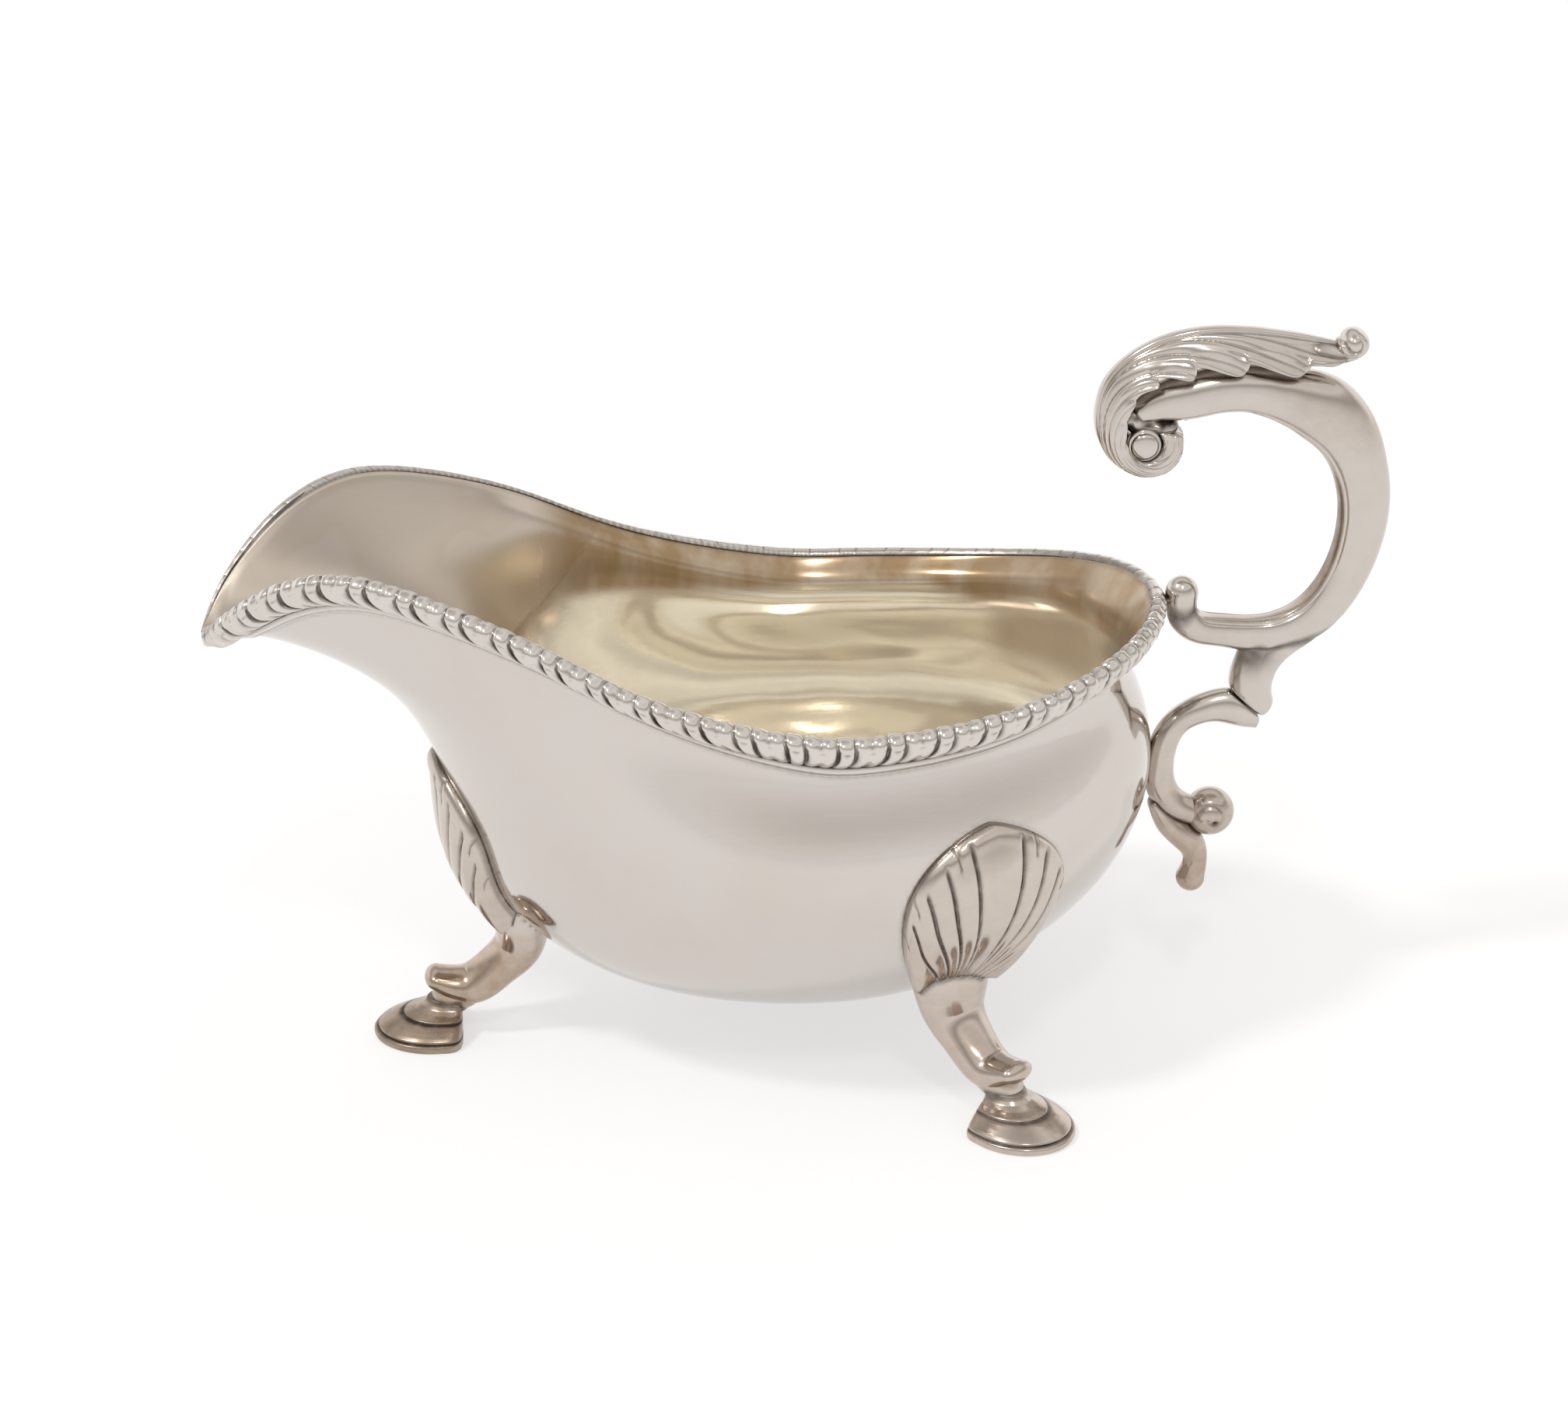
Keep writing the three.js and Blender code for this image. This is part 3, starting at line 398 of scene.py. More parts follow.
# How far the wall's inside lies in at distances down from the rim, and where the spout begins
LIP_DISTANCE = [0, 1.2, 2.4, 4.6, 6.4, 9, 14, 22, 26, 32, 90]
LIP_INSET = [1.0, 1.0, 1.25, 2.4, 2.65, 2.35, 1.65, 1.25, 1.2, 1.2, 1.2]
LIP_SINK = 0.42
SPOUT_ROOT = -56.0
FILM_LEVEL, FILM_LEVEL_AT_HANDLE = 63.5, 44.0


def make_bowl():
    cols = 480
    a = np.arange(cols) * 2 * PI / cols
    t = np.r_[np.linspace(0, 1, 26), np.linspace(1, 5.9, 74)[1:]]
    aa, tt = np.meshgrid(a, t)
    normal = unit(lookup(NORMAL, aa, tt))
    outer = skin(aa, tt, 0)
    outer += normal * (0.035 * ripple(outer, 24, 3))[..., None]
    # the wall thickens below the rim, so that its inner lip turns outwards, but not in the spout
    distance = lookup(RUN, aa, tt)
    flare = natural(LIP_DISTANCE, LIP_INSET, np.minimum(distance, LIP_DISTANCE[-1]))
    flare = np.where(distance > 26, WALL, flare)
    in_bowl = smooth((outer[..., 0] - SPOUT_ROOT) / 22) * smooth((56 - outer[..., 0]) / 20)
    inner = skin(aa, tt, -mix(WALL, flare, in_bowl))
    uneven = 0.10 * ripple(inner, 26, 11) + 0.05 * ripple(inner, 11, 12)
    inner += normal * (uneven * smooth(tt / 1.4))[..., None]
    # the wall's top edge stays under the border's grooves
    sink = LIP_SINK * (1 - smooth(distance / 2.6))
    outer[..., 2] -= sink
    inner[..., 2] -= sink
    inward, tip = to_middle(outer[0])
    lip = outer[0] + inward * (WALL * (1 - 0.6 * tip))[:, None]
    lip[:, 2] += 0.5 * WALL * tip
    # ease the inner wall into the lip
    for k in range(6):
        inner[k] = mix(lip + (inner[k] - inner[0]), inner[k], smooth(k / 6))
    crown = [mix(outer[0], inner[0], f) + [0, 0, 0.12 * math.sin(PI * f)] for f in (0.15, 0.35, 0.65, 0.85)]
    rows = np.concatenate([outer[::-1], crown, inner])
    piece = loft(rows)
    # the end caps of the loft are the two middles of the bottom
    piece.p[-2] = [BOTTOM_X, 0, BOTTOM_SHARE * RIM_HEIGHT]
    piece.p[-1] = [BOTTOM_X, 0, BOTTOM_SHARE * RIM_HEIGHT + WALL]
    row_of = np.r_[np.repeat(np.arange(len(rows)), cols), 0, len(rows) - 1]
    inside = smooth((row_of - len(t) - 1) / 2)
    x, y, z = piece.p.T
    piece.values["inner"] = inside
    # brown film under the rim, reaching lower towards the handle
    band = smooth((z - FILM_LEVEL + 1.6 * ripple(piece.p, 18, 22)) / 4) * smooth((x + 46) / 10)
    end = 0.65 * smooth((x - 30 + 2 * ripple(piece.p, 18, 23)) / 9)
    end = end * smooth((z - FILM_LEVEL_AT_HANDLE) / 14)
    piece.values["film"] = inside * np.maximum(band, end)
    return piece


# Rim border


def to_middle(rim):
    """Level direction from points of the rim to the middle, and how close they are to the spout's tip."""
    inward = unit(np.stack([-rim[..., 0], -rim[..., 1], 0 * rim[..., 0]], -1))
    return inward, smooth((np.abs(rim[..., 0]) / SPOUT_REACH - 0.9) * 10)


RIM_COUNT = 2400
RIM_ANGLES = PI - np.arange(RIM_COUNT + 1) * PI / RIM_COUNT
_rim = lookup(SURFACE, RIM_ANGLES, np.zeros_like(RIM_ANGLES))
RIM_RUN = np.r_[0, np.cumsum(np.linalg.norm(np.diff(_rim, axis=0), axis=1))]
RIM_LENGTH = RIM_RUN[-1]


def rim_angle(run):
    """Angle at a distance along the rim, from the spout's tip to the handle."""
    return np.interp(run, RIM_RUN, RIM_ANGLES)


# Section of a lobe's crest and of the groove beside it: level down the wall, and stand-off from it
LOBE_CREST = np.array(
    [
        (0.62, -1.24), (0.02, -1.2), (-0.38, -0.75), (-0.5, 0.2), (-0.22, 1.3), (0.5, 1.95), (1.15, 1.98),
        (1.9, 2.2), (2.9, 2.42), (3.9, 2.2), (4.6, 1.75), (5.05, 1.1), (5.3, 0.45),
    ]
)
LOBE_GROOVE = np.array(
    [
        (0.64, -1.22), (0.34, -1.06), (0.16, -0.6), (0.12, 0.1), (0.25, 0.6), (0.6, 0.85), (1.15, 0.95),
        (1.9, 1.0), (2.9, 1.0), (3.9, 0.95), (4.6, 0.85), (5.05, 0.6), (5.3, 0.45),
    ]
)
BORDER_BACK = (5.3, 0.0), (3.4, -0.35), (1.2, -0.45), (0.35, -0.6)
LOBE_UNEVEN = 0.32  # how much wider a fluted lobe is than a plain one, as a share of their mean
LOBE_STATIONS = 18
LOBE_MIDDLE = 27  # the lobe, counted from the spout's tip, from which the others lean away
RIM_MARGIN = 0.15


def make_gadroon(side):
    """Half of the border: side -1 is the near half, 1 the far half."""
    i = np.arange(LOBES_PER_SIDE * LOBE_STATIONS + 1)
    v = np.linspace(0, 1, 26)
    key = np.linspace(0, 1, len(LOBE_CREST))
    crest = natural(key, LOBE_CREST, v)
    groove = natural(key, LOBE_GROOVE, v)
    level = np.clip(crest[:, 0] / GADROON_DROP, 0, 1)[:, None]
    lobe = i / LOBE_STATIONS
    number = np.clip(np.floor(lobe), 0, LOBES_PER_SIDE - 1)
    f = lobe - number
    fluted = (number + LOBE_MIDDLE + 1) % 2  # every second lobe is wider, with a shallow flute
    from_middle = lobe - (LOBE_MIDDLE + 0.5)
    ends = np.minimum(smooth(lobe / 1.5), smooth((LOBES_PER_SIDE - lobe) / 1.5))
    toward_tip = smooth((LOBE_MIDDLE - 5.5 - lobe) / 10) * smooth(lobe / 5)
    lean = np.sign(from_middle) * smooth(np.abs(from_middle) / 2.2) * ends * (1.15 + 1.9 * toward_tip)
    wider = np.where(fluted > 0, 1, -1) * (f - 0.5) * LOBE_UNEVEN * ends
    share = np.clip((lobe + wider) / LOBES_PER_SIDE, 0, 1)
    run = mix(RIM_MARGIN, RIM_LENGTH - RIM_MARGIN, share)
    plain = (1 - np.abs(2 * f - 1) ** 3.2) ** 0.6
    hollow = np.exp(-(((f - 0.5) / 0.15) ** 2))
    top = np.exp(-((level / 0.16) ** 2)) * (level < 0.3)
    low = smooth((level - 0.45) / 0.45)
    cut = fluted * hollow * (0.10 + 0.55 * top + 0.34 * low)
    height = plain * (1 - np.clip(cut, 0, 0.95))
    height = mix(height, 0.92, (1 - ends) ** 2)
    if side > 0:
        height = mix(height, 0.85, 0.88 * smooth((0.17 - level) / 0.09))

    def turned(shift):
        return rim_angle(np.clip(run - shift, 0.05, RIM_LENGTH - 0.05)) * side

    down = mix(groove[:, 0][:, None], crest[:, 0][:, None], height)
    off = mix(groove[:, 1][:, None], crest[:, 1][:, None], height)
    a = turned(lean * (level**2.2 - 0.35 * np.sin(PI * level) - 0.2))
    pts = skin(a, depth_at(a, np.clip(down, 0, None)), np.clip(off, 0, None))
    # over the wall's top edge the section goes level towards the middle
    inside = np.clip(-off, 0, None)
    inward, tip = to_middle(lookup(SURFACE, a, 0 * a))
    pts += inward * (inside * (1 - 0.6 * tip))[..., None]
    pts[..., 2] += np.clip(-down, 0, None) + inside * 0.5 * tip
    back = []
    for depth, off_in in BORDER_BACK:
        ab = turned(lean * ((depth / GADROON_DROP) ** 2.2 - 0.2))
        back.append(skin(ab, depth_at(ab, depth + 0 * ab), off_in + 0 * ab))
    rows = np.concatenate([pts, np.array(back)])  # [level, station]
    piece = loft(rows.transpose(1, 0, 2))
    # dark oxide fills each groove, thin between the beads and widest low down
    thin = mix(0.07, 0.13, smooth((from_middle - 2) / 5))
    width = mix(thin, 0.21, smooth((level - 0.12) / 0.35))
    dark = np.exp(-(((1 - np.abs(2 * f - 1)) / width) ** 2))
    comma = np.exp(-(((f - 0.5) / 0.10) ** 2))
    comma = comma * smooth((level - 0.70) / 0.14) * smooth((0.99 - level) / 0.05)
    dark = np.clip(np.maximum(dark, fluted * comma), 0, 1)
    dark *= 1 - 0.45 * np.exp(-(((level - 0.05) / 0.07) ** 2))
    dark = np.concatenate([dark, np.ones((len(BORDER_BACK), len(i)))])
    piece.values["dark"] = np.r_[dark.T.ravel(), 0, 0]
    return piece


def make_reed():
    cols = 720
    a = np.arange(cols) * 2 * PI / cols
    top = GADROON_DROP + 0.05
    section = [
        (0.0, 0.12), (0.06, 0.62), (0.25, 0.74), (0.8, 0.72), (1.25, 0.66), (1.38, 0.45), (1.46, 0.40),
        (1.54, 0.52), (1.75, 0.56), (1.9, 0.42), (1.95, 0.02), (1.2, -0.35), (0.5, -0.35),
    ]
    rows = np.array([skin(a, depth_at(a, top + d), off + 0 * a) for d, off in section])
    return loft(rows.transpose(1, 0, 2), closed_rows=True)


# Handle

RIM_END = SURFACE[0, 0]
BELLY_END = SURFACE[int(3 / DEPTH_STEP), 0]


# Levels of the rim and of the belly at the handle, and the rim's reach there, in the drawing
RIM_DRAWN, BELLY_DRAWN, REACH_DRAWN = 77.5, 45.6, 62.3


def in_handle(u, w, z):
    """Points of the handle's upright plane: u and z as drawn, w across."""
    u, w, z = np.broadcast_arrays(np.asarray(u, float), np.asarray(w, float), np.asarray(z, float))
    up = np.where(z > RIM_DRAWN, 1.0, (RIM_END[2] - BELLY_END[2]) / (RIM_DRAWN - BELLY_DRAWN))
    return np.stack([RIM_END[0] + (u - REACH_DRAWN), w, RIM_END[2] + (z - RIM_DRAWN) * up], -1)


def stations(*rows):
    """Stations of a sweep from (u, z, half thickness, half depth as a share of it)."""
    return [(u, z, h, h * depth) for u, z, h, depth in rows]


# Thumb at the rim: the scroll's end, turned up
THUMB = stations((66.4, 76.9, 2.75, 1), (66.4, 74.6, 2.6, 1), (67.0, 72.4, 2.3, 1), (68.6, 70.9, 1.6, 1))
MAIN_SCROLL = stations(
    (66.3, 75.6, 1.9, 1), (66.3, 73.8, 2.35, 1), (67.2, 72, 2.6, 1), (69.3, 70.4, 2.6, 1),
    (72.9, 69.6, 2.65, 1), (77.5, 68.9, 2.95, 0.82), (83.4, 69.2, 3.3, 0.82), (88.8, 72, 3.55, 0.82),
    (92.9, 77.3, 3.7, 0.82), (95.6, 84.8, 4.0, 0.82), (96.3, 92.1, 4.3, 0.82), (94.9, 99.6, 4.75, 0.82),
    (91.5, 106, 5.5, 0.82), (86.7, 109.9, 5.55, 0.82), (81.2, 111.8, 4.4, 0.9), (75.5, 113.1, 3.9, 1.02),
    (70.5, 112.9, 3.9, 1.02), (66, 112.0, 3.8, 1.02), (61.6, 111.1, 3.2, 1.1), (58.4, 109.8, 2.1, 1.4),
)
BEAK = [(73, 111.6, 2.0, 2.8), (69.2, 110.5, 1.7, 2.7), (66.8, 109.3, 1.2, 2.5), (65.7, 108.5, 0.7, 2.1)]
LOWER_SCROLL = stations(
    (80.1, 54.9, 3.3, 0.82), (77.3, 55.4, 3.3, 0.82), (74, 55.9, 3, 0.82), (70, 55.2, 2.5, 0.95),
    (66.4, 53, 2.25, 1), (64.4, 49.6, 2.4, 1), (63.7, 45.2, 2.5, 1), (64.2, 41, 2.6, 1),
    (66.6, 37.9, 2.5, 1.05), (70, 36.3, 2.4, 1.1),
)
SPUR = stations(
    (63, 38.1, 1.1, 1.8), (65.8, 34.1, 2.2, 1.1), (69, 31.1, 2.5, 1.05), (70.4, 28.1, 2.1, 1.05),
    (70.2, 25.3, 2.2, 1.05), (69.8, 23.8, 2.5, 1),
)
STRUT = stations(
    (80.1, 67.8, 3.0, 0.6), (79.4, 65, 3.3, 0.72), (78.8, 62, 3.65, 0.8), (78.8, 59, 3.6, 0.85),
    (79.6, 56.6, 3, 0.95),
)
# the strut's outer side runs on along the scroll
BRANCH = [
    (79.0, 59.4, 3.2, 2.7), (80.4, 63.2, 2.9, 2.6), (83.4, 66.4, 2.4, 2.5), (87.4, 68.8, 1.9, 2.2),
    (91.4, 71.8, 1.2, 1.6),
]
KNOB, KNOB_RADIUS = (72.6, 36.2), 4.2
EYE = (58.8, 104.4)
EYE_SECTION = [
    (2.9, 0.0), (2.9, 2.5), (2.8, 3.0), (2.55, 3.25), (2.42, 3.15), (2.3, 3.3), (2.15, 3.6), (1.9, 3.82),
    (1.5, 3.98), (1.0, 4.08), (0.5, 4.12), (0.1, 4.13),
]
CORE = [(56.6, 108.6, 2.2, 2.8), (58.6, 107.6, 2.2, 2.7), (61.0, 106.8, 1.8, 2.6), (63.4, 107.0, 1.3, 2.6)]
CURL = (93.05, 120.45)
CURL_NECK = [
    (87.2, 118.9, 1.9, 2.6), (89.6, 118.5, 1.75, 2.8), (91.6, 118.3, 1.3, 2.9), (93.2, 118.5, 0.9, 2.8),
]

# Leaf over the scroll, rolled under into the front volute: crest line, edge line, half depth, and
# the run along the edge that its flutes are counted by
LEAF = [
    (65.4, 105.8, 61.2, 106.4, 3.5, 31.5),
    (65.3, 102.6, 61.9, 104.4, 3.8, 34.5),
    (63.4, 99.8, 61.0, 102.6, 4.0, 37.5),
    (60.0, 98.7, 59.2, 101.7, 4.1, 41),
    (56.2, 99.5, 57.3, 102.5, 4.2, 44.5),
    (52.9, 102.2, 55.9, 104.6, 4.3, 48),
    (51.1, 106.0, 55.5, 107.4, 4.4, 51.4),
    (50.9, 110.4, 56.0, 110.8, 4.5, 54.8),
    (52.2, 115.0, 57.8, 113.6, 4.6, 57.8),
    (55.4, 118.8, 60.6, 115.4, 4.75, 60.6),
    (60.2, 121.7, 64.2, 116.2, 4.8, 64.2),
    (66.1, 123.4, 68.9, 116.8, 4.8, 68.9),
    (72.0, 123.7, 74.2, 116.9, 4.8, 74.2),
    (79.0, 123.0, 80.2, 116.7, 4.7, 80.2),
    (85.3, 121.8, 85.6, 116.4, 4.3, 85.6),
    (91.2, 120.3, 91.2, 117.9, 2.5, 91.0),
]
# Sections of the leaf by (h, b): share from crest to edge, and share of the half depth
LEAF_KEYS = [0, 0.09, 0.15, 0.19, 0.23, 0.35, 0.55, 0.75, 0.9, 1]
LEAF_TOP = [
    (0, 0), (0.0, 0.12), (0.035, 0.20), (0.085, 0.255), (0.115, 0.30), (0.22, 0.50), (0.44, 0.76),
    (0.68, 0.91), (0.88, 0.985), (1, 1),
]
LEAF_ROLL = [
    (0, 0), (0.0, 0.28), (0.01, 0.5), (0.035, 0.66), (0.05, 0.72), (0.13, 0.88), (0.36, 0.99),
    (0.65, 1.0), (0.88, 0.93), (1, 0.82),
]
LOBE_ENDS = np.array([22, 27, 31, 35.5, 40, 44.5, 49, 53, 57, 61.4, 67.4, 75.8, 85.6, 96])
FLUTE_LENGTH = 22.0


def leaf_section(points, v):
    """Half section of the leaf, read at v and eased; its start stays on the crest."""
    sec = np.stack([np.interp(v, LEAF_KEYS, np.array(points)[:, k]) for k in (0, 1)], -1)
    for k in (0, 1):
        before = sec[0, k] * 2 - sec[2:0:-1, k] if k else sec[2:0:-1, k]
        e = np.r_[before, sec[:, k], 2 * sec[-1, k] - sec[-2:-4:-1, k]]
        sec[:, k] = np.convolve(e, np.array([1, 2, 3, 2, 1]) / 9, "valid")
    sec[0] = (0, 0)
    return sec


def leaf_lobe(x):
    """Which lobe of the leaf's edge a distance along it falls in, and where in it."""
    k = np.clip(np.searchsorted(LOBE_ENDS, x) - 1, 0, len(LOBE_ENDS) - 2)
    return k, np.clip((x - LOBE_ENDS[k]) / (LOBE_ENDS[k + 1] - LOBE_ENDS[k]), 0, 1)


def make_leaf():
    rows_n, half_n = 300, 56
    s = np.asarray(LEAF)
    run = np.r_[0, np.cumsum(np.hypot(*np.diff(s[:, :2] + s[:, 2:4], axis=0).T) / 2)]
    q = natural(run, s, np.linspace(0, run[-1], rows_n))
    v = np.linspace(0, 1, half_n)
    edge_run = q[:, 5]
    rolled = 1 - smooth((edge_run - 44) / 16)[:, None]
    section = mix(leaf_section(LEAF_TOP, v)[None], leaf_section(LEAF_ROLL, v)[None], rolled[..., None])
    h, b = section[..., 0], section[..., 1]
    # scalloped edge: each lobe swells to a tip and turns back to the next notch
    bump = np.sin(PI * leaf_lobe(edge_run)[1] ** 1.9) ** 0.62
    notch = 0.30 * (1 - bump) * smooth((edge_run - 55) / 6) * (1 - smooth((edge_run - 87) / 4))
    h = h * (1 - notch[:, None] * smooth((h - 0.35) / 0.5))
    cu, cz, eu, ez, depth = (q[:, k][:, None] for k in range(5))
    near = np.stack([mix(cu, eu, h), depth * b, mix(cz, ez, h)], -1)
    n = unit(np.cross(np.gradient(near, axis=1), np.gradient(near, axis=0)))
    if n[rows_n * 2 // 3, half_n // 2, 1] < 0:
        n = -n
    # flutes leave the crest and sweep down into the lobes
    share = np.clip((h - 0.13) / 0.87, 0, 1)
    phase = edge_run[:, None] - FLUTE_LENGTH * share ** (1 / 2.2)
    k, f = leaf_lobe(phase + FLUTE_LENGTH)
    width = (LOBE_ENDS[k + 1] - LOBE_ENDS[k]) / 9.0
    swell = 1 - np.abs(2 * f - 1) ** 2.4
    inner_line = np.exp(-(((f - 0.52) / 0.10) ** 2)) * smooth((share - 0.15) / 0.4)
    relief = smooth((v - 0.2) / 0.14) * (0.56 * width * (swell - 0.75) - 0.14 * width * inner_line)
    relief = relief * (1 - 0.55 * rolled)
    rib_valley = -0.32 * np.exp(-(((v - 0.205) / 0.028) ** 2))
    lift = 0.5 * smooth((h - 0.6) / 0.4) * (1 - rolled) * (0.4 + bump[:, None])
    near = near + n * (relief + rib_valley + lift)[..., None]
    near[:, 0, 1] = 0

    def between(share_w, share_h):
        """Points inside the leaf, by shares of its half depth and of the way from crest to edge."""
        middle = mix(q[:, :2], q[:, 2:4], share_h)
        return np.stack([middle[:, 0], q[:, 4] * share_w, middle[:, 1]], -1)

    # underside, from the edge back to the middle
    edge = near[:, -1]
    along = unit(edge - near[:, -4])
    under = [edge + along * 0.18 - n[:, -1] * 0.32, edge - n[:, -1] * 0.75]
    under += [between(0.74, 0.8), between(0.4, 0.62)]
    half = np.concatenate([near, np.stack(under, 1)], 1)
    other = half[:, 1:][:, ::-1] * [1, -1, 1]
    loop = np.concatenate([half, between(0, 0.55)[:, None], other], 1)
    return loft(in_handle(loop[..., 0], loop[..., 1], loop[..., 2]))


def make_curl():
    """The leaf's tip, rolled over into a small ball."""
    g = np.radians(np.linspace(-168, 80, 60))
    r = np.linspace(1.9, 1.35, 60)
    h = np.interp(np.linspace(0, 1, 60), [0, 0.3, 0.75, 1], [1.0, 0.95, 0.95, 0.55])
    turns = [
        (CURL[0] + rr * math.cos(t), CURL[1] + rr * math.sin(t), hh, 2.9 - 0.5 * abs(t) / 3)
        for t, rr, hh in zip(g, r, h)
    ]
    band = sweep(turns[::4] + [turns[-1]], in_handle, 90, 32, power=2.4)
    eye = ball(in_handle(CURL[0] - 0.15, 0, CURL[1] + 0.1), 2.1, 3.25, 2.1)
    return join(band, eye, sweep(CURL_NECK, in_handle, 40, 32))


def make_front_volute():
    """Round eye in the rolled end of the leaf, and the worn hollow behind it, painted dark for dirt and for
    shade.
    """
    g = np.arange(64) * 2 * PI / 64
    rings = [in_handle(EYE[0] + r * np.cos(g), w + 0 * g, EYE[1] + r * np.sin(g)) for r, w in EYE_SECTION]
    near = loft(rings)
    far = Piece(near.p * [1, -1, 1], [q[::-1] for q in near.f])
    core = sweep(CORE, in_handle, 50, 32)
    core.p[:, 1] += 0.22 * ripple(core.p, 1.8, 5) * np.sign(core.p[:, 1])
    # the hollow is painted dark: dirt, and painted shade where it lies under the leaf
    core.values["dark"] = np.clip(0.55 + 0.5 * ripple(core.p, 1.3, 6), 0, 1)
    return join(near, far, core)


def make_main_scroll():
    steps, sides = 360, 96
    body = sweep(MAIN_SCROLL, in_handle, steps, sides, (False, True), power=2.1, inner=2.9)
    turn = np.degrees(np.abs((body.turn + PI) % (2 * PI) - PI))
    along = np.clip(np.arange(len(body.p)) // sides / steps, 0, 1)
    length = smooth((along - 0.03) / 0.05) * smooth((0.84 - along) / 0.1)
    # a fine rib runs along both edges of the flat inner side
    off = turn - 36
    rib = 0.20 * np.exp(-((off / 4.0) ** 2))
    rib = rib - 0.15 * np.exp(-(((off - 9) / 4.5) ** 2)) - 0.10 * np.exp(-(((off + 9) / 4) ** 2))
    body.p += body.normals() * (rib * length)[:, None]
    high = smooth((along - 0.22) / 0.1) * smooth((0.60 - along) / 0.08)
    strip = smooth((42 - turn) / 10)
    body.values["warm"] = 1.3 * strip * (0.25 * length + 0.75 * high)
    body.values["dark"] = 0.42 * strip * high
    return join(body, sweep(BEAK, in_handle, 60, 48, (False, True)))


def make_knob():
    """Round end of the lower scroll, with a cut spiral and a hole on both sides."""
    centre = in_handle(KNOB[0], 0, KNOB[1])
    knob = ball(centre, KNOB_RADIUS, 0.95 * KNOB_RADIUS, KNOB_RADIUS, 40, 64)
    d = knob.p - centre
    ang = np.arctan2(d[:, 2], d[:, 0])
    r = np.hypot(d[:, 0], d[:, 2])
    side = np.abs(d[:, 1]) / (0.95 * KNOB_RADIUS)
    spiral = np.exp(-(((r - 1.75 - 0.34 * ang) / 0.28) ** 2)) * smooth((side - 0.35) / 0.3)
    hole = np.exp(-((np.hypot(d[:, 0] - 0.5, d[:, 2] + 0.9) / 0.6) ** 2)) * (side > 0.5)
    knob.p -= unit(d) * (0.22 * spiral + 0.6 * hole)[:, None]
    # the holes are shallow dents painted fully dark, a painted shade for their depth; the spiral cut is
    # darkened a little
    knob.values["dark"] = np.clip(0.25 * spiral + hole, 0, 1)
    return knob


def make_handle():
    lower = trim(sweep(LOWER_SCROLL, in_handle, 160, 56, (False, True)), -1)
    strut = trim(sweep(STRUT, in_handle, 80, 56, (False, True)), 1)
    strut = join(strut, sweep(BRANCH, in_handle, 80, 48))
    # painted shade on the strut under the main scroll, where the two meet
    d = strut.p - in_handle(78.2, 0, 65.6)
    strut.values["dark"] = 0.75 * np.exp(-((d[:, 0] / 3.4) ** 2) - (d[:, 2] / 2.2) ** 2)
    return {
        "handle_main_scroll": make_main_scroll(),
        "handle_leaf": make_leaf(),
        "handle_leaf_curl": make_curl(),
        "handle_front_volute": make_front_volute(),
        "handle_rim_volute": sweep(THUMB, in_handle, 90, 56),
        "handle_strut": strut,
        "handle_lower_scroll": join(lower, make_knob()),
        "handle_spur": sweep(SPUR, in_handle, 110, 48),
    }


# Legs


def leg_axes(angle):
    """Level directions of a leg: outwards, and across to the left of it."""
    return np.array([math.cos(angle), math.sin(angle), 0]), np.array([-math.sin(angle), math.cos(angle), 0])


def on_bowl(angle, w, z):
    """Surface angle and depth of the points at w across and z up in a leg's plane, by Newton's method."""
    w, z = np.broadcast_arrays(np.asarray(w, float), np.asarray(z, float))
    a = np.full(w.shape, float(angle))
    t = np.full(w.shape, 3.5)
    e = 0.02

    def miss(a, t):
        q = lookup(SURFACE, a, t)
        return -math.sin(angle) * (q[..., 0] - LEG_CENTRE_X) + math.cos(angle) * q[..., 1] - w, q[..., 2] - z

    for _ in range(14):
        f, g = miss(a, t)
        fa, ga = miss(a + e, t)
        ft, gt = miss(a, t + e)
        fa, ga, ft, gt = (fa - f) / e, (ga - g) / e, (ft - f) / e, (gt - g) / e
        det = fa * gt - ft * ga
        a = a - np.clip((f * gt - ft * g) / det, -0.3, 0.3)
        t = np.clip(t - np.clip((fa * g - f * ga) / det, -0.5, 0.5), 1.2, 5.7)
    return a, t


def leg_place(angle, radius):
    out, across = leg_axes(angle)

    def place(u, w, z):
        u, w, z = np.broadcast_arrays(np.asarray(u, float), np.asarray(w, float), np.asarray(z, float))
        p = out * (radius + u)[..., None] + across * w[..., None]
        p[..., 0] += LEG_CENTRE_X
        p[..., 2] += z
        return p

    return place


def shell_outline(share):
    """Half width and height of the shell's outline, from its top at share 0 to its corner at share 1."""
    f = 1 - np.arange(161) / 160
    widest, corner = 0.52, 0.6
    upper = np.maximum(1 - (np.maximum(f - widest, 0) / (1 - widest)) ** 2.2, 0) ** 0.75
    lower = mix(corner, 1, 1 - np.maximum(1 - f / widest, 0) ** 1.8)
    w = SHELL_HALF_WIDTH * np.where(f > widest, upper, lower)
    z = SHELL_FOOT + SHELL_HEIGHT * f
    run = np.r_[0, np.cumsum(np.hypot(np.diff(w), np.diff(z)))]
    want = share * run[-1]
    return np.interp(want, run, w), np.interp(want, run, z)


# Places across the shell, as shares of its half width, of its grooves and of the cuts at its rim
SHELL_GROOVES = (0.133, 0.278, 0.41, 0.568)
SHELL_NICKS = (0.205, 0.49, 0.70)


